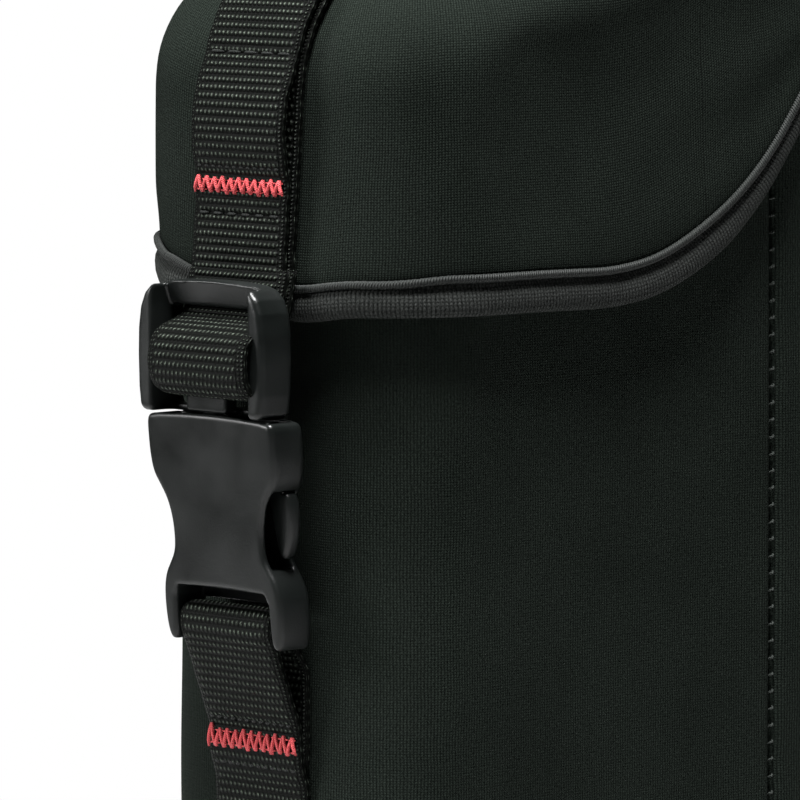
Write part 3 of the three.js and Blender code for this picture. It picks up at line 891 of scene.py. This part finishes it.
def lid_cover():
    curl = ((7.25, 1.7), (7.3, 0.9), (7.7, 0.3))
    outer = lid_rings(0.0, 8.4, edge_curl=curl)
    run = plan_lengths(around(LID, 0, LID_MIDDLE, LID_COUNTS), looped=True)
    columns = [run_lengths([ring[c] for ring in outer]) for c in range(len(outer[0]))]
    marks = [[(run[c], columns[c % len(columns)][r]) for c in range(len(run))] for r in range(len(outer))]
    lumpy = []
    for r, ring in enumerate(outer):
        own = around(LID, 0, LID_MIDDLE, LID_COUNTS)
        line = []
        for c, p in enumerate(ring):
            _, _, nx, ny = own[c]
            corner = ease((-14 - p.x) / 9) * ease((-45 - p.y) / 15)
            amount = (lumps(p, 38, 0.9) + 0.9 * corner) * ease((r - 3) / 4)
            line.append(p + Vector((nx, ny, 0.3)) * amount)
        lumpy.append(line)

    def held(r, c):
        p = outer[r][c]
        edge = 1.0 if r < 5 else 0.0
        strap = 0.9 if abs(p.x) < 13.5 and p.y < 62 and r > 3 else 0.0
        return max(edge, strap, 0.02)

    pushed = padding_push(lumpy, held, 2.4, 1.8, looped=True)
    inner = lid_rings(3.0, 8.4, edge_curl=((7.25, 0.0), (7.3, 0.0), (7.7, 0.0)))
    work = Work()
    a = work.grid(pushed, marks, looped=True)
    b = work.grid(inner, marks, looped=True, flip=True)
    work.strip(b[0], a[0], looped=True)
    work.cap(a[-1])
    work.cap(b[-1], flip=True)
    cover = work.piece("lid_cover", CASE_KNIT, "lid", "case_fabric", ("lid_shell", "lid_foam"), levels=1)
    return cover


def lid_lining():
    outer = lid_rings(3.3, 5.0)
    run = plan_lengths(around(LID, 3, LID_MIDDLE, LID_COUNTS), looped=True)
    marks = [[(run[c], 3.0 * r) for c in range(len(run))] for r in range(len(outer))]
    work = Work()
    a = work.grid(outer, marks, looped=True, flip=True)
    work.cap(a[-1], flip=True)
    return work.piece("lid_lining_cup", BRUSHED_LINING, "lid", "lining", ("lid_lining",), levels=1)


EDGE_END = 60.0  # where the hem and the cord stop, short of the hinge


def edge_path(above, out, step):
    """Points along the lid's lower edge with their frames: position, outward, upward square to the edge and
    distance."""
    places = wrap(LID, 0, EDGE_END, False, (60, 24, 20))
    base_line = []
    for x, y, nx, ny in places:
        z = edge_z(x, y)
        base_line.append((Vector((x, y + lid_lean(z) * max(-ny, 0) ** 4, z)), Vector((nx, ny, 0))))
    lengths = run_lengths([p for p, _ in base_line])
    total, count = lengths[-1], int(lengths[-1] / step)
    evened, k = [], 0
    for n in range(count + 1):
        s = total * n / count
        while k < len(lengths) - 2 and lengths[k + 1] < s:
            k += 1
        t = (s - lengths[k]) / (lengths[k + 1] - lengths[k])
        evened.append((base_line[k][0].lerp(base_line[k + 1][0], t),
                       base_line[k][1].lerp(base_line[k + 1][1], t).normalized()))
    frames = []
    for n, (p, normal) in enumerate(evened):
        way = (evened[min(n + 1, count)][0] - evened[max(n - 1, 0)][0]).normalized()
        up = way.cross(normal).normalized()
        if up.z < 0:
            up = -up
        rise = above(p) if callable(above) else above
        frames.append((p + up * rise + normal * out, normal, up, total * n / count))
    return frames


def hem():
    """The knitted tape that binds the skirt's lower edge: a soft roll, thinner towards the hinge."""
    path = edge_path(0.0, 0.0, step=1.2)
    section = [(-2.4, 0.15), (-1.2, -0.05), (-0.2, 0.1), (0.35, 0.7), (0.6, 1.6), (0.65, 2.8), (0.5, 4.0),
               (0.1, 4.9), (-0.35, 5.5), (-0.7, 6.6), (-0.9, 8.4), (-2.5, 8.4), (-3.2, 5.4), (-3.4, 4.2),
               (-3.5, 2.6), (-3.3, 1.0)]
    rows, marks = [], []
    girth = run_lengths([Vector((a, b, 0)) for a, b in section + section[:1]])
    for p, normal, up, s in path:
        thin = 1 - 0.5 * ease((p.y + 2) / 36)
        gathers = 0.0
        if p.x < -28 and p.y < -58:
            gathers = 0.32 * math.sin(s * 2.1) * math.exp(-((p.x + 38) / 6) ** 2)
        ring = []
        for out, rise in section:
            give = lumps((s, rise, 3.0), 9, 0.22) + gathers * (rise / 5) if rise < 5.6 else 0.0
            ring.append(p + normal * (out * thin + give) + up * (6.5 - (6.5 - rise) * thin))
        rows.append(ring)
        marks.append([(s, g) for g in girth])
    work = Work()
    index = work.grid(rows, marks, looped=True)
    work.cap(index[0], flip=True)
    work.cap(index[-1])
    return work.piece("lid_hem_tape", HEM_KNIT, "lid", "trim", ("lid_hem_binding",))


def piping():
    path = edge_path(lambda p: cord_rise(p.x, p.y), 0.15, step=0.45)
    points = [p for p, _, _, _ in path]

    def strands(s, angle):
        return 1 + 0.13 * abs(math.cos(angle + s * 2.6)) - 0.05

    work = Work()
    work.tube(points, 0.74, 12, shape=strands)
    return work.piece("lid_piping_cord", PIPING_YARN, "lid", "trim", ("lid_piping",))


lid_cover()
lid_lining()
hem()
piping()

# ---------------------------------------------------------------- webbing

WEBBING_WIDTH, WEBBING_THICKNESS = 25.0, 1.8
STRAP_X, LOWER_STRAP_X, LOOP_X = 0.4, 0.9, 1.2  # how far each strap hangs off the middle
LOOP_WIDTH = 26.4  # spread a little where it goes round the bar


def smooth_line(points, step):
    """An even run of points on a smooth curve through (y, z) points."""
    dense = []
    padded = [points[0]] + list(points) + [points[-1]]
    for k in range(1, len(padded) - 2):
        a, b, c, d = (Vector((p[0], p[1], 0)) for p in padded[k - 1:k + 3])
        for n in range(12):
            t = n / 12
            dense.append(0.5 * (2 * b + (c - a) * t + (2 * a - 5 * b + 4 * c - d) * t**2
                                + (3 * b - a - 3 * c + d) * t**3))
    dense.append(Vector((points[-1][0], points[-1][1], 0)))
    lengths = run_lengths(dense)
    count = max(int(lengths[-1] / step), 2)
    line, k = [], 0
    for n in range(count + 1):
        s = lengths[-1] * n / count
        while k < len(lengths) - 2 and lengths[k + 1] < s:
            k += 1
        t = (s - lengths[k]) / max(lengths[k + 1] - lengths[k], 1e-9)
        line.append(dense[k].lerp(dense[k + 1], t))
    return line


def webbing(name, points, body, replaced, face=1.0, dips=(), across=STRAP_X, width=WEBBING_WIDTH):
    """A strap along a smooth (y, z) line. face is the side of the line that shows: 1 is to the left of its
    run. dips are (distance, half width, depth, holes) rows pulled in by stitches."""
    line = smooth_line(points, WEAVE_ROW / 4)
    lengths = run_lengths(line)
    columns = 30
    spread = [-1 + 2 * k / columns for k in range(columns + 1)]
    top, bottom, marks = [], [], []
    for k, p in enumerate(line):
        ahead, behind = line[min(k + 1, len(line) - 1)], line[max(k - 1, 0)]
        way = (ahead - behind).normalized()
        side = Vector((-way.y, way.x, 0)) * face
        s = lengths[k]
        end = min(s, lengths[-1] - s)
        row, under, mark = [], [], []
        for v in spread:
            u = v * width / 2
            half = WEBBING_THICKNESS / 2 * (1 - 0.5 * abs(v) ** 10)
            if end < 0.5:
                half *= 0.6
            rib = 0.17 * (0.5 + 0.5 * math.cos(2 * math.pi * s / WEAVE_ROW)) * (1 - abs(v) ** 12)
            pull = 0.0
            for at, reach, depth, holes in dips:
                near = math.exp(-((s - at) / reach) ** 2)
                if near > 0.02:
                    hole = math.cos(math.pi * holes * (v + 1) / 2) ** 8 if holes else 0.0
                    pull += depth * near * (0.45 + 0.55 * hole) * (1 - abs(v) ** 8)
            x = across + u * (1 + 0.006 * math.sin(s * 0.9))
            high = half + rib - pull
            row.append(Vector((x, p.x + side.x * high, p.y + side.y * high)))
            under.append(Vector((x, p.x - side.x * half, p.y - side.y * half)))
            mark.append((u, s))
        top.append(row)
        bottom.append(under)
        marks.append(mark)
    work = Work()
    work.shell(top, bottom, marks)
    return work.piece(name, BLACK_WEBBING, body, "webbing", replaced)


def strap_frame(points, distance, height, across=STRAP_X):
    """The place and axes on a strap's face at a distance along it: origin, along, outward."""
    line = smooth_line(points, 0.25)
    lengths = run_lengths(line)
    k = min(range(len(lengths)), key=lambda i: abs(lengths[i] - distance))
    way = (line[min(k + 1, len(line) - 1)] - line[max(k - 1, 0)]).normalized()
    side = Vector((-way.y, way.x, 0))
    origin = line[k] + side * height
    return Vector((across, origin.x, origin.y)), Vector((0, way.x, way.y)), Vector((0, side.x, side.y))


def distance_at(points, z):
    """How far along a strap its line first reaches a height."""
    line = smooth_line(points, 0.25)
    lengths = run_lengths(line)
    for k in range(1, len(line)):
        if (line[k - 1].y - z) * (line[k].y - z) <= 0:
            return lengths[k]
    raise ValueError("the strap doesn't reach that height")


def bar_tack(name, at, height, body, replaced, seed):
    """A band of red zigzag thread across a strap, over two straight rows."""
    origin, way, out = at
    draw = random.Random(seed)
    turns, width, radius = 11, 24.2, 0.36
    corners = []
    for k in range(2 * turns + 1):
        x = -width / 2 + width * k / (2 * turns) + draw.uniform(-0.12, 0.12)
        reach = height / 2 * (1.0 + draw.uniform(-0.12, 0.12)) * (1.25 if k < 2 else 1.0)
        corners.append((x, reach if k % 2 else -reach))
    points = []
    for (x0, r0), (x1, r1) in zip(corners, corners[1:]):
        for t in (0.06, 0.3, 0.5, 0.7, 0.94):
            x, r = x0 + (x1 - x0) * t, r0 + (r1 - r0) * t
            arch = 0.5 * math.sin(math.pi * t) ** 0.6
            points.append(origin + Vector((x, 0, 0)) + way * r + out * (arch - 0.12))
    work = Work()
    work.tube(points, radius, 7, start_normal=out)
    count = 14
    for r in (-0.3, 0.3):
        for k in range(count):
            x0 = -width / 2 + width * k / count + 0.2
            a = origin + Vector((x0, 0, 0)) + way * r * height + out * 0.05
            b = origin + Vector((x0 + width / count - 0.4, 0, 0)) + way * r * height + out * 0.05
            work.tube([a, (a + b) / 2 + out * 0.12, b], 0.2, 5)
    return work.piece(name, RED_THREAD, body, "thread", replaced)


def stitch_row(work, at, count, length=0.62):
    """A straight row of thread stitches across a strap. length is the share of the pitch that shows."""
    origin, _, out = at
    width, radius, lift = 23.0, 0.27, -0.15
    pitch = width / count
    for k in range(count):
        x = -width / 2 + pitch * (k + 0.5)
        a = origin + Vector((x - pitch * length / 2, 0, 0)) + out * (lift - 0.2)
        b = origin + Vector((x, 0, 0)) + out * (lift + 0.12)
        c = origin + Vector((x + pitch * length / 2, 0, 0)) + out * (lift - 0.2)
        work.tube([a, (a + b) / 2 + out * 0.08, b, (b + c) / 2 + out * 0.08, c], radius, 6)


def over_lid(height, end_y, bulge=None):
    """A line on the lid's outside from the free strap's root, up the front, over the shoulder and along the
    crown."""
    line = []
    root, front_top = 183.0, shoulder_z(LID["front"])
    for k in range(9):
        z = root + (front_top - root) * k / 8
        line.append((lid_front_y(z) - height - (bulge(z) if bulge else 0), z))
    for degrees in (12, 24, 36, 48, 60, 72, 84):
        a = math.radians(degrees)
        y = LID["front"] + 26 * (1 - math.cos(a))
        z = shoulder_z(y) + (crown_z(y) - shoulder_z(y)) * math.sin(a)
        out = height + (bulge(z) if bulge else 0)
        lean = lid_lean(z) * (1 - 0.4 * (a / (math.pi / 2)))
        line.append((y + lean - out * math.cos(a), z + out * math.sin(a)))
    count = max(int((end_y + 54) / 9), 2)
    for k in range(1, count + 1):
        y = -52 + (end_y + 52) * k / count
        line.append((y, crown_z(y) + height))
    return line


def loop_bulge(z):
    t = (z - 201) / 21
    return 2.0 * math.sin(math.pi * t) ** 0.8 if 0 < t < 1 else 0.0


UNDER_HEIGHT, OVER_HEIGHT = 1.3, 3.4  # of the two layers' middles above the lid
UNDER_LINE = over_lid(UNDER_HEIGHT, 60)
OVER_LINE = over_lid(OVER_HEIGHT, -41, loop_bulge)
TAB_LINE = [(-83.35, 184.5), (-84.2, 181.5), (-85.3, 178.2), (-86.2, 176), (-88.6, 174.4), (-91.8, 173.2),
            (-94.1, 171.4), (-94.9, 168.4), (-94.7, 165.2), (-93.6, 163.0), (-91.6, 161.9), (-88.6, 161.9),
            (-86.8, 163.2), (-85.9, 165.4), (-85.2, 169), (-84.2, 173.5), (-82.9, 178.5), (-81.3, 184.5)]
BUCKLE_SHIFT = (0.8, 1.0)  # how far the socket and prongs are set across and in
FRAME_SHIFT = (-0.5, 0.8)  # the same for the frame half, which hangs a little to one side
BUCKLE_LEAN = 0.095  # how far the socket goes in towards the case for each millimetre below its mouth
SOCKET_MOUTH = 157.0
STRAP_FRONT = -79.5  # the lower strap's stretch forward of this is its loop
LOOP_PRESS = 0.622  # how deep the loop stays once the leaning socket has brought it in


def drawn_in(line):
    """A line of webbing whose outermost stretch goes in with the buckle."""
    return [(y + BUCKLE_SHIFT[1] * ease((-82 - y) / 5), z) for y, z in line]


def pressed_in(line):
    """The lower strap's line, with its loop brought in to the leaning socket."""
    return [(max(y, STRAP_FRONT) + min(y - STRAP_FRONT, 0) * LOOP_PRESS + 0.35, z) for y, z in line]


LOWER_LINE = pressed_in([
    (-75.9, 2.4), (-76.8, 5.5), (-77.6, 11), (-77.9, 25), (-78.0, 50), (-77.9, 75), (-77.9, 86), (-78.1, 89),
    (-79.1, 92), (-79.5, 94.5), (-79.8, 98.5), (-81.9, 102.4), (-85.6, 108.5), (-89.3, 114.6), (-91.1, 117),
    (-91.3, 118.8), (-90.5, 120.6), (-88.3, 121.4), (-86.0, 120.8), (-85, 119.2), (-84.4, 117.4),
    (-82.2, 115.6), (-79.6, 113), (-78.2, 110.4), (-77.9, 107.5), (-77.9, 99), (-77.9, 92.6)])
HANDLE = {"front": -38.0, "back": 48.0, "foot": 12.0, "rise": 20.0}


def handle_line():
    """A line from one sewn foot up over the hand gap and down to the other."""
    front, back, foot, rise = HANDLE["front"], HANDLE["back"], HANDLE["foot"], HANDLE["rise"]
    line = [(y, crown_z(y) + OVER_HEIGHT) for y in (front, front + foot * 0.6)]
    start, end = front + foot, back - foot
    for k in range(13):
        t = k / 12
        y = start + (end - start) * t
        line.append((y, crown_z(y) + OVER_HEIGHT + rise * (1 - abs(2 * t - 1) ** 2.6)))
    line += [(y, crown_z(back) + OVER_HEIGHT) for y in (back - foot * 0.6, back)]
    return line


def straps():
    webbing("lid_strap_base_layer", UNDER_LINE, "lid", ("lid_strap_under",))
    red = distance_at(OVER_LINE, 199.3)
    black = distance_at(OVER_LINE, 194.2)
    top = distance_at(OVER_LINE, 223.7)
    webbing("lid_strap_top_layer", OVER_LINE, "lid", ("lid_strap_over",),
            dips=((red, 1.6, 0.3, 0), (black, 0.8, 0.55, 6), (top, 0.9, 0.75, 5)))
    stitches = Work()
    stitch_row(stitches, strap_frame(OVER_LINE, black, 0.9), 6)
    stitch_row(stitches, strap_frame(OVER_LINE, top, 0.75), 5, length=0.75)
    stitch_row(stitches, strap_frame(OVER_LINE, distance_at(OVER_LINE, 203.0), 0.9), 12)
    stitches.piece("lid_strap_stitches", BLACK_THREAD, "lid", "thread")
    bar_tack("lid_strap_red_tack", strap_frame(OVER_LINE, red, 1.0), 3.1, "lid", ("upper_bar_tack",), seed=4)

    low_red, low_black = distance_at(LOWER_LINE, 96.2), distance_at(LOWER_LINE, 100.4)
    webbing("lower_strap", LOWER_LINE, "case", ("lower_webbing",),
            dips=((low_red, 2.0, 0.3, 0), (low_black, 0.8, 0.5, 6), (low_red - 4.6, 0.8, 0.35, 6)),
            across=LOWER_STRAP_X)
    stitches = Work()
    for distance in (low_black, low_red - 4.6):
        stitch_row(stitches, strap_frame(LOWER_LINE, distance, 0.9, LOWER_STRAP_X), 12)
    stitches.piece("lower_strap_stitches", BLACK_THREAD, "case", "thread")
    bar_tack("lower_strap_red_tack", strap_frame(LOWER_LINE, low_red, 1.0, LOWER_STRAP_X), 3.9, "case",
             ("lower_bar_tack",), seed=9)

    tab = webbing("strap_loop", drawn_in(TAB_LINE), None, ("strap_tab",), face=-1.0, across=LOOP_X,
                  width=LOOP_WIDTH)
    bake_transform(tab)

    line = handle_line()
    webbing("carry_handle", line, "lid", ("top_handle",))
    feet = {"handle_tack_front": HANDLE["front"] + HANDLE["foot"] / 2,
            "handle_tack_back": HANDLE["back"] - HANDLE["foot"] / 2}
    for seed, (node, y) in enumerate(feet.items()):
        total = run_lengths(smooth_line(line, 0.25))[-1]
        distance = y - HANDLE["front"] if y < 0 else total - (HANDLE["back"] - y)
        bar_tack(node.replace("tack", "red_tack"), strap_frame(line, distance, 1.0), 3.4, "lid", (node,),
                 seed=20 + seed)


straps()


def hinge_band():
    """The strip of cloth over the joint of the lid and the back, stitched along both edges."""
    counts, low, high, reach = (6, 14, 12), 229, 247, 34
    near = [p for p in wrap(LID, 0, LID_MIDDLE, True, counts) if abs(p[0]) < reach and p[3] > 0]
    run = plan_lengths(near)
    rows, inner, marks = [], [], []
    for k in range(17):
        t = k / 16
        z = low + (high - low) * t
        out = 0.6 + 0.7 * math.sin(math.pi * t) ** 0.5
        rows.append([Vector((x + nx * out, y + ny * out, z)) for x, y, nx, ny in near])
        inner.append([Vector((x + nx * 0.3, y + ny * 0.3, z)) for x, y, nx, ny in near])
        marks.append([(s, z) for s in run])
    work = Work()
    work.shell(rows, inner, marks)
    band = work.piece("hinge_band_cloth", HEM_KNIT, None, "trim", ("hinge_band",), levels=1)
    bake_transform(band)


hinge_band()

# ---------------------------------------------------------------- buckle


def rounded(outline, times):
    """Corner cutting: a smoother closed outline."""
    for _ in range(times):
        finer = []
        for k, (x, z) in enumerate(outline):
            p, q = outline[k - 1], outline[(k + 1) % len(outline)]
            finer.append((x + (p[0] - x) * 0.25, z + (p[1] - z) * 0.25))
            finer.append((x + (q[0] - x) * 0.25, z + (q[1] - z) * 0.25))
        outline = finer
    return outline


def frame_outline(x0, x1, z0, z1, radius=0.0):
    if radius <= 0:
        return [(x0, z0), (x1, z0), (x1, z1), (x0, z1)]
    outline = []
    for cx, cz, start in ((x1 - radius, z0 + radius, -90), (x1 - radius, z1 - radius, 0),
                          (x0 + radius, z1 - radius, 90), (x0 + radius, z0 + radius, 180)):
        for k in range(5):
            a = math.radians(start + 22.5 * k)
            outline.append((cx + radius * math.cos(a), cz + radius * math.sin(a)))
    return outline


def outline_distance(x, z, outline):
    """Distance from points to a closed outline, negative inside it."""
    best = np.full(np.broadcast(x, z).shape, 1e9)
    inside = np.zeros(best.shape, bool)
    for (ax, az), (bx, bz) in zip(outline, outline[1:] + outline[:1]):
        dx, dz = bx - ax, bz - az
        t = np.clip(((x - ax) * dx + (z - az) * dz) / max(dx * dx + dz * dz, 1e-12), 0, 1)
        best = np.minimum(best, np.hypot(x - ax - t * dx, z - az - t * dz))
        if az != bz:
            crosses = ((az > z) != (bz > z)) & (x < (bx - ax) * (z - az) / (bz - az) + ax)
            inside ^= crosses
    return np.where(inside, -best, best)


def soft_least(a, b, fillet):
    share = np.clip(0.5 + 0.5 * (b - a) / fillet, 0, 1)
    return b + (a - b) * share - fillet * share * (1 - share)


class Moulding:
    """A plastic part as distances to its surface on a fine lattice: rounded blocks joined and cut, with
    fillets."""

    def __init__(self, low, high, pitch=0.36, shift=BUCKLE_SHIFT):
        self.shift = shift
        self.axes = [np.arange(a - 2 * pitch, b + 2.5 * pitch, pitch) for a, b in zip(low, high)]
        self.field = np.full([len(axis) for axis in self.axes], 50.0)

    def block(self, outline, front, back, edge):
        x, y, z = self.axes
        a = outline_distance(x[:, None], z[None, :], outline)[:, None, :] + edge
        b = (np.abs(y - (front + back) / 2) - (back - front) / 2)[None, :, None] + edge
        return np.minimum(np.maximum(a, b), 0) + np.hypot(np.maximum(a, 0), np.maximum(b, 0)) - edge

    def add(self, outline, front, back, edge=0.8):
        self.field = soft_least(self.field, self.block(outline, front, back, edge), 0.5)

    def cut(self, outline, front, back, edge=0.3, fillet=0.5):
        self.field = -soft_least(-self.field, self.block(outline, front, back, edge), fillet)

    def mesh(self, name):
        """Quads through the lattice cells that the surface crosses."""
        f = self.field
        shape = tuple(n - 1 for n in f.shape)
        total, count = np.zeros(shape + (3,)), np.zeros(shape)
        corners = [(i, j, k) for i in (0, 1) for j in (0, 1) for k in (0, 1)]
        for p in corners:
            for axis in range(3):
                if p[axis]:
                    continue
                q = tuple(v + (n == axis) for n, v in enumerate(p))
                one = f[tuple(slice(v, v + n) for v, n in zip(p, shape))]
                two = f[tuple(slice(v, v + n) for v, n in zip(q, shape))]
                crossed = (one < 0) != (two < 0)
                share = np.where(crossed, one / np.where(crossed, one - two, 1), 0)
                for n in range(3):
                    total[..., n] += crossed * (p[n] + (share if n == axis else 0))
                count += crossed
        used = count > 0
        index = np.full(shape, -1)
        index[used] = np.arange(used.sum())
        cells = np.argwhere(used)
        local = total[used] / count[used][:, None]
        origin = np.array([axis[0] for axis in self.axes])
        pitch = self.axes[0][1] - self.axes[0][0]
        places = (origin + (cells + local) * pitch + np.array([*self.shift, 0])) * MM
        places[:, 1] += BUCKLE_LEAN * np.maximum(SOCKET_MOUTH * MM - places[:, 2], 0)
        quads = []
        for axis in range(3):
            low = np.take(f, range(f.shape[axis] - 1), axis)
            high = np.take(f, range(1, f.shape[axis]), axis)
            a, b = [n for n in range(3) if n != axis]
            for cell in np.argwhere((low < 0) != (high < 0)):
                around_edge = []
                for da, db in ((0, 0), (1, 0), (1, 1), (0, 1)):
                    c = list(cell)
                    c[a] -= da
                    c[b] -= db
                    around_edge.append(int(index[tuple(c)]))
                quads.append(around_edge)
        mesh = bpy.data.meshes.new(name)
        mesh.from_pydata(places.tolist(), [], quads)
        shape = bmesh.new()
        shape.from_mesh(mesh)
        bmesh.ops.recalc_face_normals(shape, faces=shape.faces)
        bmesh.ops.smooth_vert(shape, verts=shape.verts, factor=0.5,
                              use_axis_x=True, use_axis_y=True, use_axis_z=True)
        shape.to_mesh(mesh)
        shape.free()
        return mesh

    def piece(self, name, body, replaced):
        thing = bpy.data.objects.new(name, self.mesh(name))
        bpy.context.collection.objects.link(thing)
        return finish_piece(thing, BUCKLE_PLASTIC, body, replaced)


FEMALE_SIDE = [(16.3, 157.3), (17.35, 156.2), (17.4, 153), (17.3, 149.5), (16.7, 146), (15, 143.6),
               (13.4, 141.2), (12.4, 138), (12.1, 134.5), (12.4, 131.6), (13.8, 129.4), (15.2, 127.4),
               (16, 124.5), (16.1, 120.5), (15.7, 116.8), (14.8, 114.7), (13.6, 114.9), (12.9, 116.5),
               (12.75, 121)]


def mirrored(outline):
    """The same outline on the other side of the middle, run the other way."""
    return [(-x, z) for x, z in reversed(outline)]


def socket_half():
    outline = rounded([(0, 158.0), (9, 157.8)] + FEMALE_SIDE + [(12.7, 124.6), (0, 125.4)] + [(-12.7, 124.6)]
                      + mirrored(FEMALE_SIDE) + [(-9, 157.8)], 2)
    part = Moulding((-18, -93.5, 114), (18, -83, 159))
    part.add(outline, -92.2, -84.0, 1.1)
    part.cut(frame_outline(-12.3, 12.3, 108, 125.2, 0.8), -96, -85.5, 0.3, 0.6)  # slot for the webbing
    part.add(frame_outline(-14.2, 14.2, 116.2, 119.4, 1.0), -89.4, -87.2, 0.7)  # bar that the loop goes round
    part.add(frame_outline(-13.6, 13.6, 122.4, 128.5), -85.4, -84.2, 0.4)  # dark sheet behind the slot: painted shade, so the slot shows black
    part.cut(frame_outline(-14.9, 14.9, 129.6, 164), -90.6, -85.6, 0.4)  # hollow for the tongue and prongs
    part.cut(frame_outline(-15.6, 15.6, 154.6, 164), -91.3, -85.0, 0.3)  # its wider mouth
    for x0, x1 in ((13.0, 24), (-24, -13.0)):
        part.cut(frame_outline(x0, x1, 130.2, 144.2, 1.6), -90.9, -85.3, 0.4)  # side windows
    part.piece("buckle_socket_half", "case", ("buckle_female",))


def frame_half():
    side = [(6, 182.2), (11, 181.9), (13.6, 181.2), (15.4, 179.6), (16.6, 177), (17.2, 173), (17.3, 168),
            (17.1, 162), (16.6, 158.4), (15.6, 157.6)]
    part = Moulding((-18, -93.5, 133.5), (18, -84, 183), shift=FRAME_SHIFT)
    part.add([(0, 182.3)] + side + mirrored(side), -93.0, -84.9, 1.2)
    part.cut(frame_outline(-12.8, 12.8, 155.0, 190), -96, -90.0, 0.4)  # set back between the two rails
    for step in range(1, 6):  # the top bar slopes back in small steps, which the fillets join
        part.cut(frame_outline(-12.8, 12.8, 155.0, 182.2 - 0.9 * step), -96, -90.0 + 0.32 * step, 0.3, 0.9)
    part.cut(frame_outline(-12.8, 12.8, 158.9, 177.3, 0.8), -92, -80, 0.6)  # opening for the free loop
    part.add(frame_outline(-14, 14, 164, 168.5, 1.2), -90.7, -87.5, 1.1)  # middle bar
    part.add(frame_outline(-5.5, 5.5, 158, 161.6, 0.8), -91.2, -88.2, 0.5)  # root of the tongue
    part.add(frame_outline(-2.1, 2.1, 134, 159, 0.8), -90.0, -86.2, 0.6)  # tongue
    part.piece("buckle_frame_half", "buckle_tail", ("buckle_male",))


def spring_prongs():
    prong = rounded([(10.7, 157), (13.6, 157), (13.9, 145.6), (14.5, 144.2), (16.2, 144.0), (16.75, 141.5),
                     (16.6, 138), (15.8, 134.4), (14.4, 131.7), (13.2, 131.6), (12.3, 135), (11.4, 141),
                     (11, 148)], 1)
    for hand, outline, x0, x1 in (("right", prong, 9.5, 17.5), ("left", mirrored(prong), -17.5, -9.5)):
        part = Moulding((x0, -91, 131), (x1, -85, 158), 0.32)
        part.add(outline, -88.5, -85.4)
        part.piece(f"buckle_spring_prong_{hand}", f"prong_{hand}", (f"buckle_prong_{hand}",))


socket_half()
frame_half()
spring_prongs()
